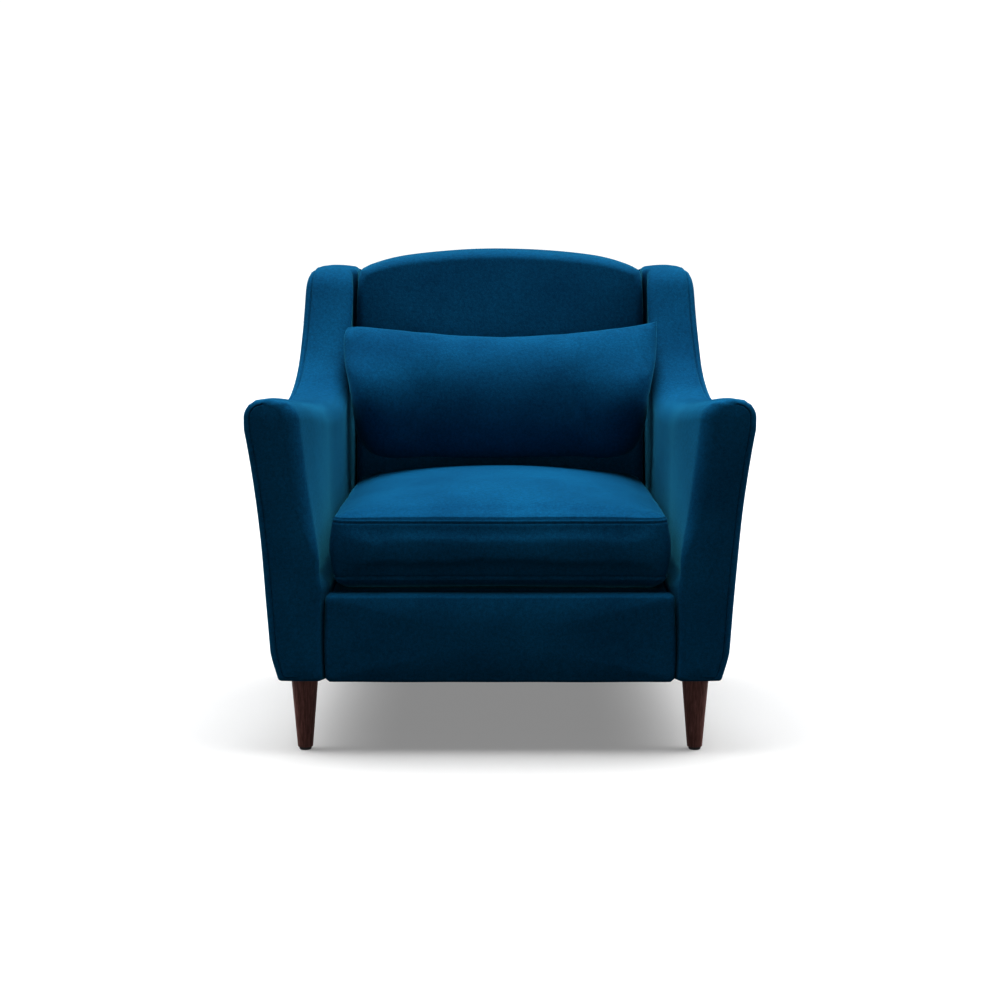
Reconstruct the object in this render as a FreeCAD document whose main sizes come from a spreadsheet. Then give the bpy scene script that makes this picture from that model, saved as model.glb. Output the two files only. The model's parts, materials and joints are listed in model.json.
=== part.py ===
"""Wing-back upholstered armchair with a loose seat cushion and a loose lumbar cushion.

Frame: +Z up, the sitter faces -Y, the origin is on the floor under the middle of the chair.
Left and right are the sitter's: left is +X.  Depths are measured back from the front plane.
"""
import FreeCAD
import Part
import Sketcher
import os
import re

Vector = FreeCAD.Vector
os.makedirs("parts", exist_ok=True)
doc = FreeCAD.newDocument("armchair")

DIMENSIONS = {
    "overall_width": 900,
    "overall_depth": 880,
    "overall_height": 872,
    "leg_height": 135,
    "leg_top_radius": 23,
    "leg_foot_radius": 12.5,
    "leg_spacing": 350,
    "leg_bolt_depth": 32,
    "bolt_length": 54,
    "front_leg_depth": 58,
    "rear_leg_depth": 745,
    "glide_thickness": 5,
    "glide_pin_radius": 1.5,
    "glide_pin_length": 15,
    "skin": 2,
    "skin_gap": 0.3,
    "plate_size": 46,
    "plate_thickness": 3,
    "boss_radius": 7,
    "boss_height": 9,
    "bolt_radius": 3.9,
    "bolt_hole_radius": 4,
    "screw_radius": 1.8,
    "screw_length": 18,
    "screw_along": 15,
    "screw_across": 8,
    "wood_bottom": 140.5,
    "rail_top": 262,
    "rail_thickness": 25,
    "side_rail_thickness": 22,
    "brace_side": 62,
    "brace_inset": 17,
    "seat_half_width": 331,
    "post_gap": 0.3,
    "front_post_width": 37.7,
    "back_post_width": 28.7,
    "front_post_depth": 50,
    "front_post_setback": 26,
    "front_rail_setback": 30,
    "rear_rail_depth": 715,
    "elbow_height": 330,
    "arm_post_top": 575,
    "arm_post_lean": 41,
    "base_rail_height": 38,
    "arm_rail_bottom": 530,
    "arm_rail_height": 25,
    "arm_rail_width": 22,
    "arm_rail_out": 37,
    "wing_board_thickness": 18,
    "wing_top": 838,
    "post_foot_front": 690,
    "post_foot_rear": 785,
    "post_head_front": 796,
    "post_head_rear": 852,
    "post_head_height": 790,
    "back_foot_depth": 802.6,
    "back_lean": 77.4,
    "panel_thickness": 8,
    "seat_front_height": 428,
    "seat_crown_height": 470,
    "seat_underside": 298.5,
    "seat_front_width": 297,
    "seat_rear_width": 283,
    "seat_front": 6,
    "seat_rear": 590,
    "seat_corner": 22,
    "seat_crown_depth": 330,
    "border_height": 297,
    "border_half_width": 309,
    "border_round": 14,
    "arm_padding": 17,
    "back_half_width": 284,
    "back_face_foot": 600,
    "back_face_head": 722,
    "crown_corner_height": 834.5,
    "crown_padding": 29,
    "top_rail_shoulder": 745,
    "top_rail_crest": 270,
    "lower_rail_bottom": 300,
    "lower_rail_height": 50,
    "webbing_width": 50,
    "webbing_thickness": 1.2,
    "webbing_pitch": 110,
    "strap_foot": 302,
    "strap_head": 788,
    "cross_strap_low": 330,
    "cross_strap_pitch": 118,
    "cross_strap_reach": 334,
    "spring_wire_radius": 1.9,
    "spring_turn_radius": 12,
    "spring_run": 26,
    "spring_pitch": 110,
    "spring_front_inset": 8,
    "spring_rear_inset": 16,
    "clip_thickness": 1.2,
    "clip_width": 16,
    "clip_reach": 14,
    "clip_heel": 6,
    "clip_room": 0.8,
    "deck_bottom": 271,
    "deck_thickness": 19,
    "dust_cover_thickness": 1.2,
    "lumbar_half_width": 288,
    "lumbar_underside": 478,
    "lumbar_top": 731,
    "lumbar_foot_front": 527,
    "lumbar_foot_rear": 547,
    "lumbar_head": 595,
    "lumbar_belly": 474,
    "lumbar_belly_height": 592,
    "lumbar_rear": 655,
    "lumbar_rear_height": 626,
    "lumbar_end_front": 528,
    "lumbar_end_rear": 612,
    "zip_thickness": 1.6,
    "zip_width": 20,
    "seat_zip_half_length": 235,
    "seat_zip_height": 352,
    "lumbar_zip_half_length": 210,
    "lumbar_zip_width": 14,
}

sheet = doc.addObject("Spreadsheet::Sheet", "Dims")
for row, (alias, number) in enumerate(DIMENSIONS.items(), start=1):
    sheet.set("A%d" % row, alias)
    sheet.set("B%d" % row, str(number))
    sheet.setAlias("B%d" % row, alias)
doc.recompute()

nodes = {}
WORDS = re.compile(r"[a-z_]+[a-z]")


def bound(expression):
    """Point the alias words of an expression at the sheet."""
    return WORDS.sub(lambda word: "Dims." + word.group(0), str(expression))


def size(expression):
    """The present value of an expression in the sheet's aliases."""
    return float(sheet.evalExpression(bound(expression)))


def behind_front(depth):
    """The Y of a depth behind the chair's front plane."""
    return "(%s) - overall_depth / 2" % depth


def keep(node, item):
    """Name an object as a sub-part to be exported."""
    item.Label = node
    nodes[node] = item
    return item


def place(item, x=0, depth=None, height=0):
    """Bind an object's position to the sheet."""
    item.setExpression("Placement.Base.x", bound(x))
    item.setExpression("Placement.Base.y", bound(0 if depth is None else behind_front(depth)))
    item.setExpression("Placement.Base.z", bound(height))
    return item


def block(name, corner, sides):
    """A rectangular block from its low corner (x, depth, height) and its side lengths."""
    item = doc.addObject("Part::Box", name)
    for side, length in zip(("Length", "Width", "Height"), sides):
        item.setExpression(side, bound(length))
    return place(item, *corner)


def rod(name, radius, length, x, depth, height):
    """A vertical cylinder standing on (x, depth, height)."""
    item = doc.addObject("Part::Cylinder", name)
    item.setExpression("Radius", bound(radius))
    item.setExpression("Height", bound(length))
    return place(item, x, depth, height)


def cut(name, base, tools):
    """Base minus every tool."""
    item = doc.addObject("Part::Cut", name)
    item.Base = base
    item.Tool = tools[0] if len(tools) == 1 else fuse(name + "_tool", tools)
    return item


def fuse(name, items):
    item = doc.addObject("Part::MultiFuse", name)
    item.Shapes = items
    return item


def group(name, items):
    """Separate solids kept as one object."""
    item = doc.addObject("Part::Compound", name)
    item.Links = items
    return item


def origin_plane(body, role):
    return [feature for feature in body.Origin.OriginFeatures if feature.Role == role][0]


def pin(sketch, geometry, end, point, tag):
    """Hold one end of a sketch line at a place given in the sheet's aliases."""
    for kind, expression in zip(("DistanceX", "DistanceY"), point):
        index = sketch.addConstraint(Sketcher.Constraint(kind, -1, 1, geometry, end, size(expression)))
        name = "%s_%s" % (tag, kind[-1].lower())
        sketch.renameConstraint(index, name)
        sketch.setExpression("Constraints." + name, bound(expression))


def sketch_on(body, name, role, offset):
    sketch = body.newObject("Sketcher::SketchObject", name)
    sketch.AttachmentSupport = (origin_plane(body, role), [""])
    sketch.MapMode = "FlatFace"
    if offset is not None:
        sketch.setExpression("AttachmentOffset.Base.z", bound(offset))
    return sketch


def draw(sketch, outline, tag="p"):
    """Draw a closed outline.

    Each entry is a corner (a, b), or (a, b, mid_a, mid_b) where the edge that leaves it is an arc
    through the middle point.
    """
    corners = [tuple(size(value) for value in entry) for entry in outline]
    first = sketch.GeometryCount
    count = len(corners)
    for index, corner in enumerate(corners):
        after = corners[(index + 1) % count]
        start = Vector(corner[0], corner[1], 0)
        end = Vector(after[0], after[1], 0)
        if len(corner) == 4:
            arc = Part.Arc(start, Vector(corner[2], corner[3], 0), end)
            sketch.addGeometry(arc)
        else:
            sketch.addGeometry(Part.LineSegment(start, end))
    ends = []
    for index, corner in enumerate(corners):
        begins = sketch.getPoint(first + index, 1).distanceToPoint(Vector(corner[0], corner[1], 0)) < 1e-6
        ends.append((1, 2) if begins else (2, 1))
    for index in range(count):
        after = (index + 1) % count
        sketch.addConstraint(Sketcher.Constraint("Coincident", first + index, ends[index][1],
                                                 first + after, ends[after][0]))
        pin(sketch, first + index, ends[index][0], outline[index][:2], "%s%d" % (tag, index))
    for index, entry in enumerate(outline):
        if len(entry) == 4:
            corner = corners[index]
            dot = sketch.addGeometry(Part.Point(Vector(corner[2], corner[3], 0)), True)
            pin(sketch, dot, 1, entry[2:], "%sm%d" % (tag, index))
            sketch.addConstraint(Sketcher.Constraint("PointOnObject", dot, 1, first + index))
    return sketch


ROLES = {"YZ": "YZ_Plane", "XZ": "XZ_Plane", "XY": "XY_Plane"}


def from_front(plane, outline):
    """Turn the depths of an outline into Y."""
    if plane == "XZ":
        return outline
    depth_places = (0, 2) if plane == "YZ" else (1, 3)
    return [tuple(behind_front(value) if place_ in depth_places else value
                  for place_, value in enumerate(entry)) for entry in outline]


def slab(name, plane, outline, length, offset=None, reverse=False):
    """A body padded from one outline; with no offset the pad is centred on its plane."""
    body = doc.addObject("PartDesign::Body", name)
    sketch = sketch_on(body, name + "_outline", ROLES[plane], offset)
    draw(sketch, from_front(plane, outline))
    pad = body.newObject("PartDesign::Pad", name + "_pad")
    pad.Profile = sketch
    pad.setExpression("Length", bound(length))
    pad.Midplane = offset is None
    pad.Reversed = reverse
    return body


def trim(body, plane, outline):
    """Pocket away everything outside an outline, seen square to a plane."""
    name = "%s_%s_trim" % (body.Name, plane.lower())
    sketch = sketch_on(body, name, ROLES[plane], None)
    reach = "overall_width * 2"
    frame = [("-" + reach, "-" + reach), (reach, "-" + reach), (reach, reach), ("-" + reach, reach)]
    draw(sketch, frame, "f")
    draw(sketch, from_front(plane, outline))
    pocket = body.newObject("PartDesign::Pocket", name + "_pocket")
    pocket.Profile = sketch
    pocket.Type = "ThroughAll"
    pocket.Midplane = True
    body.Tip = pocket
    return body


def turned(name, outline, x, depth):
    """A body turned about the vertical axis through (x, depth)."""
    body = doc.addObject("PartDesign::Body", name)
    sketch = sketch_on(body, name + "_outline", ROLES["XZ"], None)
    draw(sketch, outline)
    revolution = body.newObject("PartDesign::Revolution", name + "_turn")
    revolution.Profile = sketch
    revolution.ReferenceAxis = (sketch, ["V_Axis"])
    revolution.Angle = 360
    return place(body, x, depth)


SIDES = {"left": 1, "right": -1}


def mirrored(side, inner, width):
    """The low X of a piece that spans inner to inner + width on one side."""
    return inner if side > 0 else "-(%s) - (%s)" % (inner, width)


def rake(height, shift="0"):
    """Depth of the chair's raked rear plane at a height."""
    return ("back_foot_depth + back_lean * (%s - leg_height) / (overall_height - leg_height) - (%s)"
            % (height, shift))


def back_face(height, shift="0"):
    """Depth of the inside back's front face at a height."""
    return ("back_face_foot + (back_face_head - back_face_foot) * (%s - 295) / 545 + (%s)"
            % (height, shift))


def post_front(height, shift="0"):
    """Depth of the back posts' front edge at a height."""
    return ("post_foot_front + (post_head_front - post_foot_front) * (%s - wood_bottom)"
            " / (post_head_height - wood_bottom) + (%s)" % (height, shift))


# ---------------------------------------------------------------- wooden frame

post_inner = "seat_half_width + post_gap"
wood_height = "rail_top - wood_bottom"


def seat_frame():
    full = "seat_half_width * 2"
    for end, depth in (("front", "front_rail_setback"), ("rear", "rear_rail_depth")):
        node = end + "_seat_rail"
        keep(node, block(node, ("-seat_half_width", depth, "wood_bottom"),
                         (full, "rail_thickness", wood_height)))
    front = "front_rail_setback + rail_thickness"
    for word, side in SIDES.items():
        node = word + "_seat_rail"
        low = mirrored(side, "seat_half_width - side_rail_thickness", "side_rail_thickness")
        keep(node, block(node, (low, front, "wood_bottom"),
                         ("side_rail_thickness", "rear_rail_depth - (%s)" % front, wood_height)))
    braces = []
    inner = "seat_half_width - side_rail_thickness"
    tall = "rail_top - wood_bottom - 2 * brace_inset"
    for word, side in SIDES.items():
        sign = "" if side > 0 else "-"
        for end, edge, way in (("front", front, "+"), ("rear", "rear_rail_depth", "-")):
            corner = "%s(%s)" % (sign, inner)
            outline = [(corner, edge),
                       (corner, "%s %s brace_side" % (edge, way)),
                       ("%s(%s - brace_side)" % (sign, inner), edge)]
            braces.append(slab("%s_%s_corner_block" % (end, word), "XY", outline, tall,
                               offset="wood_bottom + brace_inset"))
    keep("corner_blocks", group("corner_blocks", braces))


def screw_spots(side, depth):
    """Where the four screws of a leg plate stand."""
    return [("%d * leg_spacing %s screw_across" % (side, across), "%s %s screw_along" % (depth, along))
            for along in "-+" for across in "-+"]


def foot_bores(name, side, depth):
    """The room in a post's foot for the leg plate's threaded boss, and its screws' pilot holes."""
    bores = [rod(name + "_nut_bore", "boss_radius + 1", "boss_height + 14", "%d * leg_spacing" % side, depth,
                 "wood_bottom - 1")]
    for index, (x, y) in enumerate(screw_spots(side, depth)):
        bores.append(rod("%s_pilot_%d" % (name, index), "screw_radius + 0.05", "screw_length", x, y,
                         "wood_bottom - 1"))
    return bores


def arm_frame(word, side):
    outer = "%s + front_post_width" % post_inner
    narrowing = 6
    bent = [(post_inner, "wood_bottom"), (outer, "wood_bottom"), (outer, "elbow_height"),
            ("%s + arm_post_lean - %d" % (outer, narrowing), "arm_post_top"),
            ("%s + arm_post_lean" % post_inner, "arm_post_top"), (post_inner, "elbow_height")]
    outline = [("%d * (%s)" % (side, x), z) for x, z in bent]
    post = slab(word + "_front_post_blank", "XZ", outline, "front_post_depth",
                offset="overall_depth / 2 - front_post_setback - front_post_depth")
    node = word + "_front_arm_post"
    keep(node, cut(node, post, foot_bores(word + "_front", side, "front_leg_depth")))

    behind_post = "front_post_setback + front_post_depth"
    node = word + "_arm_base_rail"
    keep(node, block(node, (mirrored(side, post_inner, "front_post_width"), behind_post, "wood_bottom"),
                     ("front_post_width", "post_foot_front - (%s)" % behind_post, "base_rail_height")))

    node = word + "_arm_top_rail"
    near = "%s + arm_rail_out" % post_inner
    meets = post_front("arm_rail_bottom")
    plan = [(near, behind_post), ("%s + arm_rail_width" % near, behind_post),
            ("%s + arm_rail_width" % post_inner, meets), (post_inner, meets)]
    keep(node, slab(node, "XY", [("%d * (%s)" % (side, x), y) for x, y in plan], "arm_rail_height",
                    offset="arm_rail_bottom"))

    node = word + "_wing_board"
    seat_on = "arm_rail_bottom + arm_rail_height"
    head = "post_head_height"
    profile = [(510, seat_on), (510, 596), (580, 648), (635, 708), (690, 776), (725, head),
               (post_front(head), head), (post_front(seat_on), seat_on)]
    keep(node, slab(node, "YZ", profile, "wing_board_thickness",
                    offset="%d * (%s + 4)" % (side, post_inner), reverse=side < 0))

    node = word + "_back_post"
    outline = [("post_foot_front", "wood_bottom"), ("post_foot_rear", "wood_bottom"),
               ("post_head_rear", head), ("post_head_front", head)]
    post = slab(word + "_back_post_blank", "YZ", outline, "back_post_width",
                offset="%d * (%s)" % (side, post_inner), reverse=side < 0)
    keep(node, cut(node, post, foot_bores(word + "_rear", side, "rear_leg_depth")))


def crown(drop, half_width):
    """The arched top edge of the back, lowered by a drop, as an outline's last two corners."""
    edge = "crown_corner_height - (%s)" % drop
    return [(half_width, edge, 0, "overall_height - (%s)" % drop), ("-(%s)" % half_width, edge)]


def back_frame():
    shoulder = "top_rail_shoulder"
    crest = "top_rail_crest"
    outline = [("-seat_half_width", shoulder), ("seat_half_width", shoulder),
               ("seat_half_width", "post_head_height"), (crest, "post_head_height")]
    outline += crown("crown_padding + 2", crest)
    outline += [("-" + crest, "post_head_height"), ("-seat_half_width", "post_head_height")]
    set_in = "14"
    near = "overall_depth / 2 - (%s) - rail_thickness" % post_front(shoulder, set_in)
    keep("back_top_rail", slab("back_top_rail", "XZ", outline, "rail_thickness", offset=near))
    low = "lower_rail_bottom"
    set_in = "12"
    keep("back_lower_rail", block("back_lower_rail", ("-seat_half_width", post_front(low, set_in), low),
                                  ("seat_half_width * 2", "rail_thickness", "lower_rail_height")))


# ---------------------------------------------------------------- suspension

def seat_springs():
    """Flat zigzag springs, each one wire of straight runs and half turns."""
    radius = size("spring_turn_radius")
    run = size("spring_run")
    start = size(behind_front("front_rail_setback + spring_front_inset"))
    end = size(behind_front("rear_rail_depth + spring_rear_inset"))
    turns = int((end - start) / (2 * radius))
    level = size("rail_top + clip_thickness + spring_wire_radius + skin_gap")
    clips = []
    for index in range(5):
        x = (index - 2) * size("spring_pitch")
        edges = []
        y = start
        way = 1
        for turn in range(turns + 1):
            near = Vector(x - way * run, y, level)
            far = Vector(x + way * run, y, level)
            edges.append(Part.makeLine(near, far))
            if turn < turns:
                tip = Vector(x + way * (run + radius), y + radius, level)
                edges.append(Part.Arc(far, tip, far + Vector(0, 2 * radius, 0)).toShape())
            y += 2 * radius
            way = -way
        path = Part.Wire(edges)
        circle = Part.Circle(Vector(x - run, start, level), Vector(1, 0, 0), size("spring_wire_radius"))
        spring = doc.addObject("Part::Feature", "seat_spring_%d" % (index + 1))
        spring.Shape = path.makePipeShell([Part.Wire([circle.toShape()])], True, False)
        keep(spring.Name, spring)
        for name, wire_y, way_in in (("front", start, 1), ("rear", start + turns * 2 * radius, -1)):
            clips.append(spring_clip("%s_clip_%d" % (name, index + 1), x, wire_y, way_in))
    keep("spring_clips", group("spring_clips", clips))


def spring_clip(name, x, wire_y, way):
    """A folded strip that holds the spring's end run down on the rail."""
    heel = "overall_depth / 2 + %f - %d * clip_heel" % (wire_y, way)
    toe = "%s + %d * clip_reach" % (heel, way)
    inside = "%s + %d * clip_thickness" % (heel, way)
    floor = "rail_top + clip_thickness"
    lid = floor + " + spring_wire_radius * 2 + clip_room"
    top = lid + " + clip_thickness"
    outline = [(heel, "rail_top"), (toe, "rail_top"), (toe, floor), (inside, floor),
               (inside, lid), (toe, lid), (toe, top), (heel, top)]
    return slab(name, "YZ", outline, "clip_width", offset="%f - clip_width / 2" % x)


def back_webbing():
    """A lattice of straps stretched over the front of the back frame."""
    near = "-1.4"
    far = near + " + webbing_thickness"

    def strap(name, low, high, half_width, x):
        outline = [(post_front(low, near), low), (post_front(low, far), low),
                   (post_front(high, far), high), (post_front(high, near), high)]
        return slab(name, "YZ", outline, "2 * (%s)" % half_width, offset="%s - (%s)" % (x, half_width))

    straps = []
    for index in range(5):
        straps.append(strap("upright_strap_%d" % index, "strap_foot", "strap_head", "webbing_width / 2",
                            "%d * webbing_pitch" % (index - 2)))
    for index in range(4):
        low = "cross_strap_low + %d * cross_strap_pitch" % index
        straps.append(strap("cross_strap_%d" % index, "(%s)" % low, "(%s + webbing_width)" % low,
                            "cross_strap_reach", 0))
    keep("back_webbing", fuse("back_webbing", straps))


# ---------------------------------------------------------------- arms and wings

# Each station: depth, top height, half-widths of the underside's outer edge, the turn above it,
# the outer top, the inner top and the inner foot.
ARM_STATIONS = [
    (0, 625, 385, 400, 440, 356, 322),
    (8, 632, 388, 405, 447, 341, 308),
    (25, 635, 389, 408, 450, 333, 300),
    (150, 622, 388, 406, 437, 319, 299),
    (250, 610, 386, 402, 422, 308, 298),
    (350, 601, 384, 398, 408, 300, 297),
    (420, 603, 383, 395, 400, 297, 296),
    (500, 628, 382, 392, 397, 294, 294),
    (580, 681, 381, 390, 395, 291, 291),
    (630, 737, 381, 389, 392, 290, 290),
    (660, 775, 380, 389, 390, 290, 290),
    (690, 814, 380, 388, 387, 290, 290),
    (720, 835, 380, 388, 383, 290, 290),
    (750, 842, 380, 387, 380, 290, 290),
    (900, 842, 380, 386, 379, 290, 290),
]


def arm_section(station, side, inset):
    """One closed cross-section of an arm, drawn in from the outer surface by an inset."""
    depth, top, under, turn, outer, inner, foot = station
    base = size("leg_height")
    round_out = 24
    round_in = 20
    knee = base + 56
    shoulder = top - round_out
    hip = 300
    sag = 3.5
    corners = [Vector(foot, 0, base), Vector(under, 0, base), Vector(turn, 0, knee),
               Vector(outer, 0, shoulder), Vector(outer - round_out, 0, top - 1),
               Vector(inner + round_in, 0, top - 3), Vector(inner, 0, top - round_in - 3),
               Vector(foot, 0, hip)]
    slant = 0.29
    middles = {1: Vector(turn - (turn - under) * slant, 0, base + 24),
               2: Vector((turn + outer) / 2 - sag, 0, (knee + shoulder) / 2),
               3: Vector(outer - round_out * slant, 0, top - 1 - (round_out - 1) * slant),
               4: Vector((outer + inner) / 2, 0, top),
               5: Vector(inner + round_in * slant, 0, top - 3 - round_in * slant)}
    edges = []
    for index, start in enumerate(corners):
        end = corners[(index + 1) % len(corners)]
        if index in middles:
            edges.append(Part.Arc(start, middles[index], end))
        else:
            edges.append(Part.LineSegment(start, end))

    def inward(edge, point):
        along = edge.tangent(edge.parameter(point))[0]
        return Vector(-along.z, 0, along.x).normalize() if along.Length else Vector()

    moved = []
    for index, corner in enumerate(corners):
        one = inward(edges[index - 1], corner)
        two = inward(edges[index], corner)
        moved.append(corner + (one + two) * (inset / (1 + one.dot(two))))
    held = {index: point + inward(edges[index], point) * inset for index, point in middles.items()}
    last = ARM_STATIONS[-1][0]
    y = min(depth + inset if depth < 100 else depth, last) - size("overall_depth") / 2

    def seen(point):
        return Vector(side * point.x, y, point.z)
    wire = []
    for index, start in enumerate(moved):
        end = seen(moved[(index + 1) % len(moved)])
        if index in held:
            wire.append(Part.Arc(seen(start), seen(held[index]), end).toShape())
        else:
            wire.append(Part.makeLine(seen(start), end))
    return Part.Wire(wire)


def arm_loft(name, side, inset):
    feature = doc.addObject("Part::Feature", name)
    sections = [arm_section(station, side, inset) for station in ARM_STATIONS]
    feature.Shape = Part.makeLoft(sections, True, True)
    return feature


def behind_plane(name, shift):
    """Everything behind the raked rear plane, moved forward by a shift."""
    outline = [(rake(0, shift), 0), ("overall_depth * 1.5", 0), ("overall_depth * 1.5", 1000),
               (rake(1000, shift), 1000)]
    return slab(name, "YZ", outline, "overall_width * 1.2")


def arm_upholstery(word, side):
    """The arm's padding, hollow around the frame, and the fabric sewn over it."""
    prefix = word + "_arm_"

    def shared_cuts(kind, gap):
        below = "leg_height - 15"
        room = "seat_half_width + %s" % gap
        border = "border_half_width + 2.5 + %s" % gap
        lid = "deck_bottom + deck_thickness + 4"
        seat_room = block(prefix + kind + "_seat_room", ("-(%s)" % room, "front_rail_setback - 2", below),
                          ("2 * (%s)" % room, "rear_rail_depth + 45", "%s - (%s)" % (lid, below)))
        front_room = block(prefix + kind + "_front_room", ("-(%s)" % border, -5, below),
                           ("2 * (%s)" % border, 40, "border_height + 1.5 - (%s)" % below))
        head = "(post_head_height + 1)"
        behind = "overall_depth + 20"
        outline = [(post_front("(%s)" % below, "-4"), below), (behind, below), (behind, head),
                   (post_front(head, "-4"), head)]
        rear_room = slab(prefix + kind + "_rear_room", "YZ", outline, "2 * (%s)" % room)
        rear = behind_plane(prefix + kind + "_rear", "panel_thickness + skin + 0.4")
        return [seat_room, front_room, rear_room, rear]

    bolts = [rod(prefix + end + "_bolt_room", "bolt_radius + 5", 12, "%d * leg_spacing" % side, depth,
                 "leg_height - 4")
             for end, depth in (("front", "front_leg_depth"), ("rear", "rear_leg_depth"))]
    skin_cuts = shared_cuts("skin", "0.2") + [arm_loft(prefix + "inner_skin", side, size("skin"))] + bolts
    keep(prefix + "cover", cut(prefix + "cover", arm_loft(prefix + "outer_skin", side, 0), skin_cuts))

    slot_width = 51
    low = (mirrored(side, "leg_spacing - 26", slot_width), 24, "leg_height + skin")
    slot = block(prefix + "foot_room", low, (slot_width, 800, 26))
    gap = size("skin + skin_gap")
    hollow = arm_loft(prefix + "hollow", side, size("arm_padding"))
    padding_cuts = shared_cuts("padding", "0.2") + [hollow, slot]
    keep(prefix + "padding", cut(prefix + "padding", arm_loft(prefix + "foam", side, gap), padding_cuts))


# ---------------------------------------------------------------- back upholstery

def back_block(name, front, rear, drop, half_width, bottom):
    """The raked, arched block of the inside back, as a body."""
    top = "overall_height + 10"
    outline = [(front(bottom), bottom), (rear(bottom), bottom), (rear(top), top), (front(top), top)]
    body = slab(name, "YZ", outline, "2 * (%s)" % half_width)
    edge = "%s + 1" % half_width
    arch = [("-(%s)" % edge, 0), (edge, 0)] + crown(drop, edge)
    return trim(body, "XZ", arch)


def inside_back():
    behind = "panel_thickness + skin + 0.4"
    bottom = "seat_underside - 1"
    outer = back_block("inside_back_outer", lambda z: back_face(z), lambda z: rake(z, behind), "0",
                       "back_half_width", bottom)
    inner = back_block("inside_back_inner", lambda z: back_face(z, "skin"), lambda z: rake(z, "-20"),
                       "skin", "back_half_width - skin", bottom + " + skin")
    inset = "skin + skin_gap"
    foam = back_block("inside_back_foam", lambda z: back_face(z, inset), lambda z: rake(z, behind + " + 0.3"),
                      inset, "back_half_width - (%s)" % inset, "%s + %s" % (bottom, inset))
    hollow = back_block("inside_back_hollow", lambda z: post_front(z, "-2.5"), lambda z: rake(z, "-20"),
                        "crown_padding", "overall_width / 2", "0")
    keep("inside_back_padding", cut("inside_back_padding", foam, [hollow]))
    keep("inside_back_cover", cut("inside_back_cover", outer, [inner, hollow]))


def outside_back():
    """The padded panel that closes the rear, from the underside to the wings and the crown."""
    def panel(name, near, far):
        low = 60
        high = 1000
        outline = [(rake(low, near), low), (rake(low, far), low),
                   (rake(high, far), high), (rake(high, near), high)]
        body = slab(name, "YZ", outline, "overall_width")
        notch = "back_half_width + 1"
        shape = [(-381, "leg_height"), (381, "leg_height"), (386, 191), (379, 812, 374, 831),
                 (358, "wing_top"), (300, "wing_top"), (notch, "crown_corner_height - 4")]
        shape += crown("0", notch)[:1]
        shape += [("-(%s)" % notch, "crown_corner_height"), ("-(%s)" % notch, "crown_corner_height - 4"),
                  (-300, "wing_top"), (-358, "wing_top", -374, 831), (-379, 812), (-386, 191)]
        return trim(body, "XZ", shape)
    keep("outside_back_padding", panel("outside_back_padding", "panel_thickness + skin", "skin"))
    keep("outside_back_cover", panel("outside_back_cover", "skin", "0"))


# ---------------------------------------------------------------- seat front, deck and underside

def front_border():
    def bar(name, inset, rear):
        top = "border_height - (%s)" % inset
        front = inset
        low = "leg_height + (%s)" % inset
        outline = [(front, low), (rear, low), (rear, top),
                   ("border_round + (%s)" % inset, top, "%s + border_round * 0.29" % inset,
                    "%s - border_round * 0.29" % top), (front, "%s - border_round" % top)]
        return slab(name, "YZ", outline, "2 * (border_half_width - (%s))" % inset)
    rear = "front_rail_setback - 0.2"
    keep("front_border_cover", cut("front_border_cover", bar("border_outer", "0", rear),
                                   [bar("border_inner", "skin", "front_rail_setback + 10")]))
    keep("front_border_padding", bar("front_border_padding", "skin + skin_gap", rear))


def deck():
    width = "2 * (seat_half_width - 2)"
    low = ("-(seat_half_width - 2)", "front_rail_setback + 1", "deck_bottom")
    depth = "%s - (front_rail_setback + 1)" % post_front("deck_bottom", "-6")
    keep("seat_deck_pad", block("seat_deck_pad", low, (width, depth, "deck_thickness")))
    above = low[:2] + ("deck_bottom + deck_thickness + skin_gap",)
    keep("seat_deck_cover", block("seat_deck_cover", above, (width, depth, "skin")))
    under = ("-seat_half_width", "front_rail_setback", "leg_height + skin_gap")
    reach = "back_foot_depth - 12 - front_rail_setback"
    keep("dust_cover", block("dust_cover", under, ("2 * seat_half_width", reach, "dust_cover_thickness")))


# ---------------------------------------------------------------- legs and their fixings

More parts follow.
